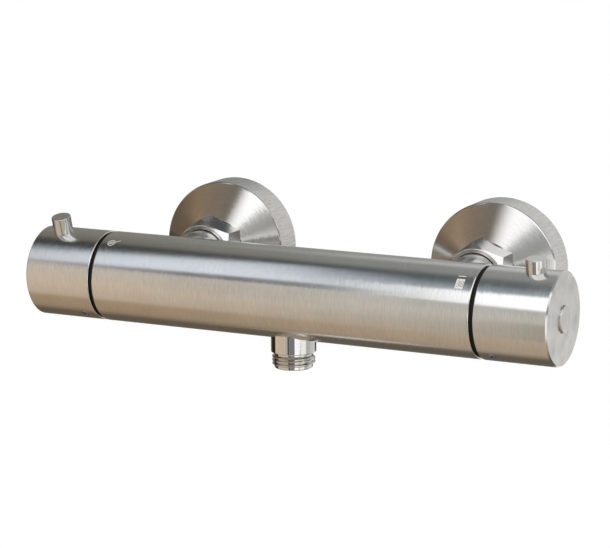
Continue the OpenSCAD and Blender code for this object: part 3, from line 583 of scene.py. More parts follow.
def cut(piece: bpy.types.Object, tool_bm: bmesh.types.BMesh, keep: bool = False) -> None:
    """Cut a solid out of a piece, or keep only what they share.

    Args:
        piece: The piece to cut.
        tool_bm: A closed solid, which is used up.
        keep: Whether the piece keeps what lies in the solid.
    """
    tool = to_object("cutter", tool_bm)
    change = piece.modifiers.new("cut", "BOOLEAN")
    change.operation = "INTERSECT" if keep else "DIFFERENCE"
    change.solver = "EXACT"
    change.object = tool
    whole = piece.data
    finished = bpy.data.meshes.new_from_object(piece.evaluated_get(bpy.context.evaluated_depsgraph_get()))
    piece.modifiers.clear()
    piece.data = finished
    finished.name = piece.name
    bpy.data.meshes.remove(whole)
    bpy.data.objects.remove(tool)
    smooth(finished)


def dress(piece: bpy.types.Object, finishes: Sequence[Steel | Plain], body: str,
          replaces: Iterable[str] = (), pick: Optional[Callable[[Vector, Vector], int]] = None,
          weigh: bool = True) -> None:
    """Give a piece its materials and tie it to its body.

    Args:
        piece: The finished piece.
        finishes: Its finishes; each face gets the first unless pick gives another.
        body: The CAD body that the piece rides on.
        replaces: CAD nodes that the piece stands for.
        pick: Gives the index of a face's finish from its centre and normal.
        weigh: Whether large faces set the shading at the corners.
    """
    if weigh:
        change = piece.modifiers.new("weighted normals", "WEIGHTED_NORMAL")
        change.keep_sharp = True
        change.weight = 100
    piece.data.materials.clear()
    for finish in finishes:
        piece.data.materials.append(material_of(finish))
    for face in piece.data.polygons:
        face.material_index = pick(face.center, face.normal) if pick else 0
    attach(piece, body)
    if replaces:
        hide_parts(*replaces)
    log.info("%s: %d faces on %s", piece.name, len(piece.data.polygons), body)


def material_of(finish: Steel | Plain) -> bpy.types.Material:
    """Return the material of a finish, made once."""
    return bpy.data.materials.get(finish.name) or finish.build()


# Places that the frame gives


@dataclass(frozen=True)
class Places:
    """Axes and main sizes of the valve, read from the frame."""

    bar_centre: Vector
    bar_radius: float
    body_end: float
    knob_start: float
    knob_end: float
    inlet_x: float
    inlet_z: float

    @classmethod
    def from_frame(cls) -> "Places":
        """Measure the CAD nodes.

        Returns:
            The places.
        """
        low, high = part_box("body_tube")
        knob_low, knob_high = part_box("temp_knob")
        plate_low, plate_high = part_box("rosette_right")
        return cls(
            bar_centre=(low + high) / 2,
            bar_radius=(high.z - low.z) / 2,
            body_end=high.x,
            knob_start=knob_low.x,
            knob_end=knob_high.x,
            inlet_x=(plate_low.x + plate_high.x) / 2,
            inlet_z=(plate_low.z + plate_high.z) / 2)

    def bar_axis(self, side: Side = Side.RIGHT) -> Axis:
        """Return the bar's axis, with stations from the middle towards one side."""
        return Axis(self.bar_centre, Vector((side.value, 0, 0)), Vector((0, 0, 1)))

    def inlet_axis(self, side: Side) -> Axis:
        """Return one inlet's axis, with stations from the wall towards the user."""
        centre = Vector((side.value * self.inlet_x, 0, self.inlet_z))
        return Axis(centre, Vector((0, -1, 0)), Vector((0, 0, 1)))

    def outlet_axis(self) -> Axis:
        """Return the outlet's axis, with stations down from the bar's axis."""
        return Axis(self.bar_centre, Vector((0, 0, -1)), Vector((1, 0, 0)))

    def radial_axis(self, x: float, lean: float) -> Axis:
        """Return an axis square to the bar.

        Args:
            x: Place along the bar.
            lean: Angle in degrees from straight up towards the user.

        Returns:
            The axis, with stations from the bar's axis.
        """
        angle = math.radians(lean)
        along = Vector((0, -math.sin(angle), math.cos(angle)))
        return Axis(Vector((x, self.bar_centre.y, self.bar_centre.z)), along, Vector((1, 0, 0)))


PLACES = Places.from_frame()


def trim_to_bar(piece: bpy.types.Object, reach: float, sink: float = 0.3 * MM) -> None:
    """Cut a branch off where it enters the bar.

    Args:
        piece: The branch.
        reach: How far along the bar the cut goes to each side.
        sink: How deep the branch's end stays in the bar.
    """
    cut(piece, rod(PLACES.bar_axis(), PLACES.bar_radius - sink, -reach, reach))


# Sub-assemblies


def bar_steel() -> Steel:
    """Return the brushed steel of the bar and the handles."""
    return PLACES.bar_axis().steel("brushed_bar", "stainless")


def end_steel() -> Steel:
    """Return the straight-grained steel of the handle ends."""
    return Steel("brushed_end", "stainless", PLACES.bar_centre, Vector((0, 1, 0)), Brushing.STRAIGHT,
                 roughness=(0.3, 0.42), anisotropy=0.6, fineness=700.0, length=22.0, shade=0.22)


@dataclass
class BarTube:
    """The tube between the two seams."""

    wall: float = 1.75 * MM
    edge: float = 0.6 * MM

    def build(self) -> None:
        """Turn the tube and dress it."""
        radius, end = PLACES.bar_radius, PLACES.body_end
        bore = radius - self.wall
        piece = lathe("bar_tube", PLACES.bar_axis(), [
            (bore, -end, 0), (radius, -end, self.edge), (radius, end, self.edge), (bore, end, 0)])
        dress(piece, [bar_steel()], "valve_body", ["body_tube"])


@dataclass
class Handle:
    """A handle cup with its pin, and with the override button on the temperature side.

    Attributes:
        side: The end of the bar.
        name: The handle's name in the frame.
        pin_lean: Angle of the pin from straight up towards the user, in degrees.
    """

    side: Side
    name: str
    pin_lean: float
    wall: float = 2.5 * MM
    end_plate: float = 3.2 * MM
    edge: float = 0.6 * MM
    chamfer: float = 0.7 * MM
    hub_radius: float = 12.0 * MM
    hub_bore: float = 7.95 * MM
    hub_setback: float = 4.0 * MM
    button_radius: float = 6.2 * MM
    button_gap: float = 0.15 * MM
    button_stem: float = 2.0 * MM
    groove: float = 0.5 * MM
    pin_radius: float = 4.8 * MM
    pin_edge: float = 0.35 * MM
    drill_start: float = 10 * MM
    drill_spare: float = 5 * MM
    grub_setback: float = 6.7 * MM
    grub_radius: float = 2.05 * MM
    grub_lean: float = 140.0
    boss_play: float = 0.3 * MM
    seat_play: float = 0.1 * MM
    end_facing: float = 0.9

    @property
    def body(self) -> str:
        """Name of the CAD body that the handle is."""
        return self.name + "_handle"

    def build(self) -> None:
        """Build the cup, the pin and the button."""
        self.build_cup()
        self.build_pin()
        if self.side is Side.RIGHT:
            self.build_button()

    def build_cup(self) -> None:
        """Turn the cup with its hub, and drill it for the grub screw."""
        radius, start, end = PLACES.bar_radius, PLACES.knob_start, PLACES.knob_end
        inner, floor, hub = radius - self.wall, end - self.end_plate, start + self.hub_setback
        shell = [(inner, start, 0), (radius, start, self.edge), (radius, end - self.chamfer, 0),
                 (radius - self.chamfer, end, 0)]
        inside = [(self.hub_bore, floor, 0), (self.hub_bore, hub, 0), (self.hub_radius, hub, self.edge),
                  (self.hub_radius, floor, 0), (inner, floor, 0)]
        opened = self.side is Side.RIGHT
        if opened:
            hole = self.button_radius + self.button_gap
            corners = shell + [(hole, end, self.groove), (hole, floor, 0)] + inside
        else:
            corners = [(0, floor, 0)] + inside + shell + [(0, end, 0)]
        axis = PLACES.bar_axis(self.side)
        piece = lathe(self.name + "_cup", axis, corners, closed=opened)
        drill = PLACES.radial_axis(self.side.value * (start + self.grub_setback), self.grub_lean)
        cut(piece, rod(drill, self.grub_radius, self.drill_start, radius + self.drill_spare, HOLE_STEPS))

        def pick(centre: Vector, normal: Vector) -> int:
            """Give the end face its straight grain."""
            station = (centre - axis.origin).dot(axis.along)
            return int(normal.dot(axis.along) > self.end_facing and station > end - self.chamfer)

        dress(piece, [bar_steel(), end_steel()], self.body, [self.name + "_knob"], pick)

    def build_pin(self) -> None:
        """Turn the pin and seat it on the cup."""
        low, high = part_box(self.name + "_pin")
        axis = PLACES.radial_axis((low.x + high.x) / 2, self.pin_lean)
        lean, tall = math.radians(self.pin_lean), high.z - PLACES.bar_centre.z
        top = (tall - self.pin_radius * math.sin(lean)) / math.cos(lean)
        seat = PLACES.bar_radius - 2 * self.wall / 3
        piece = lathe(self.name + "_post", axis, [
            (0, seat, 0), (self.pin_radius, seat, 0), (self.pin_radius, top, self.pin_edge), (0, top, 0)],
            closed=False, steps=SMALL_STEPS)
        steel = axis.steel(self.name + "_post_steel", "stainless_turned", roughness=(0.08, 0.13),
                           fineness=4000.0, waver=0.012, shade=0.1)
        dress(piece, [steel], self.body, [self.name + "_pin"])

    def build_button(self) -> None:
        """Turn the override button."""
        low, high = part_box("override_button")
        floor = PLACES.knob_end - self.end_plate
        shoulder, back = floor - self.end_plate / 2, floor - self.seat_play
        stem, boss, radius = self.button_stem, self.hub_bore - self.boss_play, self.button_radius
        piece = lathe("button", PLACES.bar_axis(), [
            (0, low.x, 0), (stem, low.x, 0), (stem, shoulder, 0), (boss, shoulder, 0), (boss, back, 0),
            (radius, back, 0), (radius, high.x, self.groove), (0, high.x, 0)],
            closed=False, steps=SMALL_STEPS)
        dress(piece, [end_steel()], "override", ["override_button"])


@dataclass
class Inlet:
    """Cover plate, union nut and neck on one side."""

    side: Side
    sheet: float = 1.0 * MM
    band: float = 16.3 * MM
    rise: float = 8.0 * MM
    seat_radius: float = 17.62 * MM
    hole_radius: float = 13.52 * MM
    rim: float = 0.9 * MM
    throat_radius: float = 15.4 * MM
    nut_flat: float = 15.0 * MM
    nut_turn: float = 8.0
    nut_face: float = 14.3 * MM
    nut_chamfer: float = 3.78 * MM
    nut_lip: float = 12.3 * MM
    nut_bore: float = 13.3 * MM
    lip_length: float = 2.4 * MM
    drill_spare: float = 1.0 * MM
    worn: float = 0.12 * MM
    worn_angle: float = 25.0
    flat_slack: float = 0.2 * MM
    flat_slant: float = 0.02
    band_slant: float = 0.05
    edge: float = 0.3 * MM
    neck_bore: float = 9.5 * MM

    def __post_init__(self) -> None:
        """Keep the inlet's axis."""
        self.axis = PLACES.inlet_axis(self.side)

    def named(self, name: str) -> str:
        """Return a piece's name with its side."""
        return f"{name}_{self.side.label}"

    def build(self) -> None:
        """Build the three pieces."""
        self.build_plate()
        self.build_nut()
        self.build_neck()

    def build_plate(self) -> None:
        """Draw the cover plate from one sheet."""
        node = self.named("rosette")
        low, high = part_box(node)
        radius, back, front = (high.x - low.x) / 2, -high.y, -low.y
        outer, band = radius - self.sheet, self.band
        slope = math.atan2(self.rise, outer - self.seat_radius)
        shift = self.sheet / math.cos(slope)
        piece = lathe(self.named("cover_plate"), self.axis, [
            (outer, back, 0), (radius, back, self.edge / 2), (radius, band, self.rim),
            (self.throat_radius, self.plate_front(self.throat_radius), self.edge),
            (self.hole_radius, front - self.sheet / 2, 0), (self.hole_radius, front - self.sheet, 0),
            (self.seat_radius, front - shift, 0), (outer, band - shift, 0)])

        def pick(centre: Vector, normal: Vector) -> int:
            """Tell the ruled band from the turned face."""
            outwards = abs(normal.dot(self.axis.along)) < self.band_slant
            return int(outwards and self.axis.radius(centre) > radius - self.rim)

        face = self.axis.steel(self.named("plate_steel"), "stainless_sheet")
        rim = self.axis.steel(self.named("plate_band_steel"), "stainless_sheet", brushing=Brushing.RULED,
                              roughness=(0.2, 0.3), fineness=1500.0, length=25.0, waver=0.07, shade=0.4)
        dress(piece, [face, rim], "valve_body", [node], pick)

    def plate_front(self, radius: float) -> float:
        """Work out how far the cover plate's slope stands off the wall.

        Args:
            radius: Distance from the inlet's axis.

        Returns:
            The distance from the wall.
        """
        low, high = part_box(self.named("rosette"))
        outer = (high.x - low.x) / 2 - self.sheet
        return -low.y + (self.seat_radius - radius) * self.rise / (outer - self.seat_radius)

    def build_nut(self) -> None:
        """Shape the nut from a hexagon and a chamfered round, and bore it."""
        node = self.named("union_nut")
        low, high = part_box(node)
        back, front = -high.y, -low.y
        corner = self.nut_flat / math.cos(math.radians(30))
        bm = bmesh.new()
        place = Matrix.Translation(self.axis.at(0, back)) @ Matrix.Rotation(math.radians(90), 4, "X")
        lean = Matrix.Rotation(math.radians(self.nut_turn), 4, "Z")
        bmesh.ops.create_circle(bm, cap_ends=True, segments=6, radius=corner, matrix=place @ lean)
        thicken(bm, self.axis.along * (front - back))
        bmesh.ops.recalc_face_normals(bm, faces=bm.faces)
        piece = to_object(self.named("hexagon_nut"), bm)
        throat, wide = self.throat_radius, corner + self.edge
        blank = eased([(0, self.plate_front(throat), 0), (throat, self.plate_front(throat), 0),
                       (wide, self.plate_front(wide), 0), (wide, front - self.nut_chamfer, 0),
                       (self.nut_face, front, self.edge), (0, front, 0)], closed=False)
        cut(piece, turned(self.axis, blank, closed=False), keep=True)
        wide, lip, spare = self.nut_bore, self.nut_lip, self.drill_spare
        step, mouth = front - self.lip_length, front - self.edge
        bore = [(0, back - spare), (wide, back - spare), (wide, step), (lip, step), (lip, mouth),
                (lip + self.edge + spare, front + spare), (0, front + spare)]
        cut(piece, turned(self.axis, bore, closed=False))
        change = piece.modifiers.new("worn corners", "BEVEL")
        change.width = self.worn
        change.segments = 2
        change.limit_method = "ANGLE"
        change.angle_limit = math.radians(self.worn_angle)

        def pick(centre: Vector, normal: Vector) -> int:
            """Tell the flats from the turned faces."""
            outwards = abs(normal.dot(self.axis.along)) < self.flat_slant
            return int(outwards and self.axis.radius(centre) > self.nut_flat - self.flat_slack)

        face = self.axis.steel(self.named("nut_steel"), "stainless_nut", roughness=(0.14, 0.2), waver=0.05)
        flat = self.axis.steel(self.named("nut_flat_steel"), "stainless_nut", roughness=(0.12, 0.18),
                               anisotropy=0.4, waver=0.02, shade=0.12)
        dress(piece, [face, flat], "valve_body", [node], pick)

    def build_neck(self) -> None:
        """Turn the neck and trim it to the bar."""
        node = self.named("inlet_neck")
        low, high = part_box(node)
        bore, radius, back, front = self.neck_bore, (high.x - low.x) / 2, -high.y, -PLACES.bar_centre.y
        piece = lathe(self.named("neck"), self.axis, [
            (bore, back, 0), (radius, back, self.edge), (radius, front, 0), (bore, front, 0)],
            steps=SMALL_STEPS)
        trim_to_bar(piece, PLACES.body_end)
        steel = self.axis.steel(self.named("neck_steel"), "stainless_turned",
                                roughness=(0.16, 0.22), waver=0.03)
        dress(piece, [steel], "valve_body", [node])


@dataclass(frozen=True)
class Thread:
    """A helical ridge. Its half widths at foot and crest, and its runout, are shares of the pitch."""

    radius: float = 10.4775 * MM
    depth: float = 1.16 * MM
    pitch: float = 1.814 * MM
    half: float = 0.49
    crest: float = 0.09
    sink: float = 0.1 * MM
    steps: int = 96
    runout: float = 1 / 3
    least: float = 0.05

    def wind(self, piece: bpy.types.Object, axis: Axis, start: float, end: float) -> None:
        """Wind the ridge on a piece, fading into the core at both ends.

        Args:
            piece: The piece that carries the thread.
            axis: The thread's axis.
            start: Station where the thread starts.
            end: Station where the thread ends.
        """
        turns = (end - start) / self.pitch - 1
        foot = self.radius - self.depth - self.sink
        half, crest = self.pitch * self.half, self.pitch * self.crest
        ridge = [(foot, start), (self.radius, start + half - crest), (self.radius, start + half + crest),
                 (foot, start + 2 * half)]
        bm = bmesh.new()
        face = bm.faces.new([bm.verts.new(axis.at(*point)) for point in ridge])
        bmesh.ops.spin(bm, geom=[face], cent=axis.origin, axis=axis.along,
                       dvec=axis.along * (self.pitch / self.steps), angle=turns * TURN,
                       steps=max(int(turns * self.steps), 1), use_merge=False)
        low, high = start + half - crest, start + half + crest + turns * self.pitch
        for vert in bm.verts:
            spoke = vert.co - axis.origin
            station = spoke.dot(axis.along)
            out = spoke - axis.along * station
            if out.length > foot + self.depth / 10:
                rise = min(station - low, high - station) / self.pitch / self.runout
                height = foot + (out.length - foot) * min(max(rise, self.least), 1.0)
                vert.co = axis.origin + axis.along * station + out.normalized() * height
        bmesh.ops.recalc_face_normals(bm, faces=bm.faces)
        bm.from_mesh(piece.data)
        bm.to_mesh(piece.data)
        bm.free()
        smooth(piece.data)


@dataclass
class HoseOutlet:
    """The threaded outlet under the bar."""

    bore: float = 7.5 * MM
    collar_length: float = 6.4 * MM
    edge: float = 0.5 * MM
    thread: Thread = field(default_factory=Thread)

    def build(self) -> None:
        """Turn the collar and the core, and wind the thread on it."""
        axis, thread = PLACES.outlet_axis(), self.thread
        low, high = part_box("outlet_nipple")
        collar, drop = (high.x - low.x) / 2, PLACES.bar_centre.z - low.z
        inside, shoulder = PLACES.bar_radius / 2, PLACES.bar_radius + self.collar_length
        core = thread.radius - thread.depth
        piece = lathe("outlet", axis, [
            (self.bore, inside, 0), (collar, inside, 0), (collar, shoulder, self.edge), (core, shoulder, 0),
            (core, drop, self.edge), (self.bore, drop, 0)])
        trim_to_bar(piece, 2 * collar)
        thread.wind(piece, axis, shoulder + thread.pitch / 3, drop - thread.pitch / 3)
        steel = axis.steel("outlet_steel", "stainless_turned", roughness=(0.06, 0.1), waver=0.012, shade=0.1)
        dress(piece, [steel], "valve_body", ["outlet_nipple"])


@dataclass(frozen=True)
class Stroke:
    """A straight stroke of a mark, in millimetres."""

    start: Point
    end: Point
    width: float

    def corners(self) -> Outline:
        """Work out its four corners.

        Returns:
            Their places along and round the bar, in metres.
        """
        first, last = Vector(self.start) * MM, Vector(self.end) * MM
        aside = (last - first).normalized().orthogonal() * self.width * MM / 2
        return [tuple(first - aside), tuple(last - aside), tuple(last + aside), tuple(first + aside)]


@dataclass
class Marks:
    """Etched marks on the tube beside the seams: a plain 38 with a dash, and a spray sign.

    Strokes are drawn flat, in millimetres along the bar and round it, and then bent round the bar. They are
    cut into slices for that, shifted by a part of a step so that no cut meets a corner.
    """

    station: float = 93.2 * MM
    pen: float = 0.34
    depth: float = 0.05 * MM
    height: float = 0.02 * MM
    step: float = 0.4 * MM
    shift: float = 0.37
    slices: int = 12
    dial_rise: float = 45.0
    spray_rise: float = 59.0

    def build(self) -> None:
        """Etch both marks."""
        pale = Plain("etched_pale", "stainless", (0.62, 0.61, 0.6), (0.54, 0.53, 0.52), (0.5, 0.6))
        dark = Plain("etched_dark", "stainless", (0.13, 0.13, 0.14), (0.18, 0.18, 0.18), (0.5, 0.6))
        dial = [Stroke((0, -2.7), (0, 2.7), 4.0), Stroke((-1.9, 4.4), (1.9, 4.4), 0.45)]
        self.etch("dial_field", dial, self.station, self.dial_rise, self.height, pale)
        self.etch("dial_number", self.number(), self.station, self.dial_rise, 2 * self.height, dark)
        self.etch("spray_sign", self.spray(), -self.station - MM, self.spray_rise, self.height, pale)

    def number(self) -> list[Stroke]:
        """Draw a 3 and an 8 of seven segments.

        Returns:
            Their strokes.
        """
        three = [((-0.4, 1.5), (0.4, 1.5)), ((0.6, 0.2), (0.6, 1.3)), ((-0.4, 0), (0.4, 0)),
                 ((0.6, -1.3), (0.6, -0.2)), ((-0.4, -1.5), (0.4, -1.5))]
        eight = three + [((-0.6, 0.2), (-0.6, 1.3)), ((-0.6, -1.3), (-0.6, -0.2))]
        return [Stroke((a + shift, b), (c + shift, d), self.pen)
                for figure, shift in ((three, -0.95), (eight, 0.95)) for (a, b), (c, d) in figure]

    def spray(self) -> list[Stroke]:
        """Draw a round shower head with a stem and three jets.

        Returns:
            Its strokes.
        """
        count, reach, gap = 12, 1.9, 0.1
        angles = [TURN * k / count for k in range(count)]
        rim = [Vector((math.cos(angle), math.sin(angle))) * reach for angle in angles]
        ring = [(a, a * gap + b * (1 - gap)) for a, b in zip(rim, rim[1:] + rim[:1])]
        jets = [((shift - 0.35, -0.9), (shift + 0.35, 0.9)) for shift in (-0.8, 0.0, 0.8)]
        return [Stroke(*ends, self.pen) for ends in ring + jets + [((2.1, 0.8), (4.2, 2.2))]]

    def etch(self, name: str, strokes: Iterable[Stroke], x: float, rise: float, height: float,
             finish: Plain) -> None:
        """Bend flat strokes round the bar as thin solids.

        Args:
            name: Name of the piece.
            strokes: Its strokes.
            x: Place of the mark's middle along the bar.
            rise: Angle of its middle above the user's side, in degrees.
            height: How far it stands off the tube.
            finish: Its material.
        """
        bm = bmesh.new()
        for stroke in strokes:
            bm.faces.new([bm.verts.new((*corner, -self.depth)) for corner in stroke.corners()])
        thicken(bm, Vector((0, 0, self.depth + height)))
        for k in range(-self.slices, self.slices + 1):
            bmesh.ops.bisect_plane(bm, geom=bm.verts[:] + bm.edges[:] + bm.faces[:], dist=SLIVER,
                                   plane_co=(0, (k + self.shift) * self.step, 0), plane_no=(0, 1, 0))
        for vert in bm.verts:
            along, arc, off = vert.co
            angle = math.radians(rise) + arc / PLACES.bar_radius
            spoke = Vector((0, -math.cos(angle), math.sin(angle))) * (PLACES.bar_radius + off)
            vert.co = PLACES.bar_centre + Vector((x + along, 0, 0)) + spoke
        bmesh.ops.recalc_face_normals(bm, faces=bm.faces)
        dress(to_object(name, bm), [finish], "valve_body", weigh=False)


@dataclass
class Insides:
    """The CAD nodes whose meshes stay as they are. The last finish serves the nodes that no other suits."""

    finishes: Sequence[Plain] = (
        Plain("spring_steel", "spring_steel", (0.5, 0.51, 0.53), (0.42, 0.43, 0.45), (0.25, 0.35), 1.0),
        Plain("machined_brass", "brass", (0.74, 0.56, 0.27), (0.66, 0.49, 0.22), (0.22, 0.32), 1.0),
        Plain("pale_plastic", "core_plastic", (0.8, 0.81, 0.82), (0.74, 0.75, 0.76)),
        Plain("black_plastic", "dark_plastic", (0.006, 0.006, 0.007), (0.011, 0.01, 0.009), (0.5, 0.65),
              gloss=0.12),
        Plain("black_rubber", "rubber", (0.018, 0.018, 0.018), (0.026, 0.026, 0.026), (0.55, 0.7)),
        Plain("lapped_ceramic", "ceramic", (0.86, 0.85, 0.81), (0.82, 0.8, 0.76), (0.2, 0.28)),
        Plain("plain_steel", "stainless", (0.6, 0.59, 0.58), (0.55, 0.55, 0.54), (0.25, 0.35), 1.0))

    def build(self) -> None:
        """Give each shown node the finish of its slot in the record."""
        for name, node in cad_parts.items():
            if node.hide_render:
                continue
            names = [slot.material.name for slot in node.material_slots if slot.material]
            suited = (finish for finish in self.finishes if names and names[0].startswith(finish.slot))
            finish = next(suited, self.finishes[-1])
            for slot in node.material_slots:
                slot.material = material_of(finish)
            log.info("%s: kept with %s", name, finish.name)


# Surroundings


@dataclass(frozen=True)
class Card:
    """A patch of light or shade on the round wall that the steel reflects.

    Angles are counted round the bar from the user's side upwards, in degrees.

    Attributes:
        colour: The colour that it shows.
        angles: Lowest and highest angle.
        reach: Left and right end along X.
        soft_angle: Width of the fading along both long edges.
        soft_left: Width of the fading at the left end.
        soft_right: Width of the fading at the right end.
        lean: Rise of the lower and of the upper edge in degrees per metre along X.
    """

    colour: Colour
    angles: tuple[float, float]
    reach: tuple[float, float]
    soft_angle: float = 4.0
    soft_left: float = 0.04
    soft_right: float = 0.04
    lean: tuple[float, float] = (0.0, 0.0)

    def mask(self, graph: Graph, angle: Socket, x: Socket) -> Socket:
        """Work out where the card lies.

        Args:
            graph: Tree of the wall's material.
            angle: Angle of the shaded point round the bar.
            x: Its place along X.

        Returns:
            1 on the card and 0 off it.
        """
        low, high = self.angles
        left, right = self.reach
        half = self.soft_angle / 2
        above, below = (graph.math("SUBTRACT", angle, graph.math("MULTIPLY", x, lean)) if lean else angle
                        for lean in self.lean)
        return graph.product(
            graph.rise(above, low - half, low + half), graph.rise(below, high + half, high - half),
            graph.rise(x, left, left + self.soft_left), graph.rise(x, right, right - self.soft_right))


# The room's colours by the angle round the bar, as the bar's two ends see them

LEFT_ROOM: Stops = [
    (-180, (0.28, 0.28, 0.26)), (-135, (0.15, 0.12, 0.09)), (-108, (0.17, 0.13, 0.085)),
    (-90, (0.44, 0.32, 0.21)), (-58, (0.51, 0.37, 0.24)), (-49, (0.72, 0.58, 0.44)),
    (-12, (0.83, 0.67, 0.52)), (20, (0.79, 0.7, 0.61)), (34, (0.54, 0.53, 0.52)),
    (70, (0.24, 0.27, 0.3)), (83, (0.06, 0.065, 0.06)), (95, (0.07, 0.07, 0.06)),
    (108, (0.22, 0.21, 0.18)), (135, (0.28, 0.28, 0.25))]
RIGHT_ROOM: Stops = [
    (-180, (0.4, 0.41, 0.41)), (-135, (0.14, 0.125, 0.1)), (-106, (0.17, 0.15, 0.11)),
    (-88, (0.54, 0.43, 0.32)), (-58, (0.61, 0.49, 0.37)), (-40, (0.62, 0.55, 0.46)),
    (-18, (0.64, 0.6, 0.53)), (4, (0.74, 0.71, 0.64)), (24, (0.64, 0.64, 0.61)),
    (64, (0.34, 0.41, 0.46)), (80, (0.1, 0.125, 0.14)), (92, (0.13, 0.145, 0.155)),
    (106, (0.37, 0.38, 0.37)), (135, (0.4, 0.41, 0.41))]

# Each card is laid over those before it

CARDS = [
    Card((0.08, 0.09, 0.1), (29.5, 41), (-0.5, -0.2), soft_left=0.2, soft_right=0.05),
    Card((0.64, 0.58, 0.5), (-10, 22), (-0.39, -0.24), 16, 0.06, 0.03),
    Card((1.05, 1.12, 1.24), (52, 119.5), (-0.75, -0.24), 5, 0.4, 0.03, lean=(35, 115)),
    Card((0.86, 0.83, 0.78), (-20, 30), (-0.26, -0.18), 18, 0.03, 0.06),
    Card((1.3, 1.25, 1.2), (-101, -95), (-0.28, -0.14), 3, soft_right=0.12),
    Card((1.6, 1.6, 1.6), (30, 96), (-0.04, 1.1), 8, 0.08, lean=(20, 0)),
    Card((0.45, 0.46, 0.45), (13, 27), (0.1, 1.1), soft_left=0.1),
    Card((0.95, 0.93, 0.91), (-5, 9), (0.12, 1.1), soft_left=0.1),
    Card((0.27, 0.27, 0.29), (-26, -5), (0.03, 0.36), soft_left=0.03, soft_right=0.02),
    Card((0.1, 0.08, 0.055), (-45, -5), (-0.05, 0.05), soft_left=0.01, soft_right=0.03),
    Card((1.5, 1.5, 1.5), (-28, 6), (0.34, 1.1), soft_left=0.02),
    Card((1.15, 1.12, 1.05), (-160, -138), (0.0, 0.45), 8),
    Card((0.05, 0.045, 0.04), (-177, -163), (-1.1, 0.2), 3, soft_right=0.08),
    Card((1.85, 1.87, 1.89), (24.2, 62.9), (-0.192, 0.1), 4, 0.045, 0.14, lean=(-34, 40))]


def glow_material(name: str, paint: Callable[[Graph, Spot], Socket],
                  clear: Optional[Callable[[Graph, Spot], Socket]] = None) -> bpy.types.Material:
    """Make a glowing material.

    Args:
        name: Name of the material.
        paint: Gives the colour from the graph and the place's X, Y and Z from the bar's centre.
        clear: Gives in the same way how far the material is seen through, or None for not at all.

    Returns:
        The new material.
    """
    material, graph, _ = new_material(name)
    graph.tree.nodes.clear()
    place = graph.split(graph.vector("SUBTRACT", graph.place, tuple(PLACES.bar_centre)))
    glow = graph.node("Emission", {"Color": paint(graph, place), "Strength": 1.0}).outputs[0]
    if clear:
        glow = graph.mix_shaders(clear(graph, place), glow, graph.node("BsdfTransparent").outputs[0])
    graph.node("OutputMaterial", {"Surface": glow})
    return material


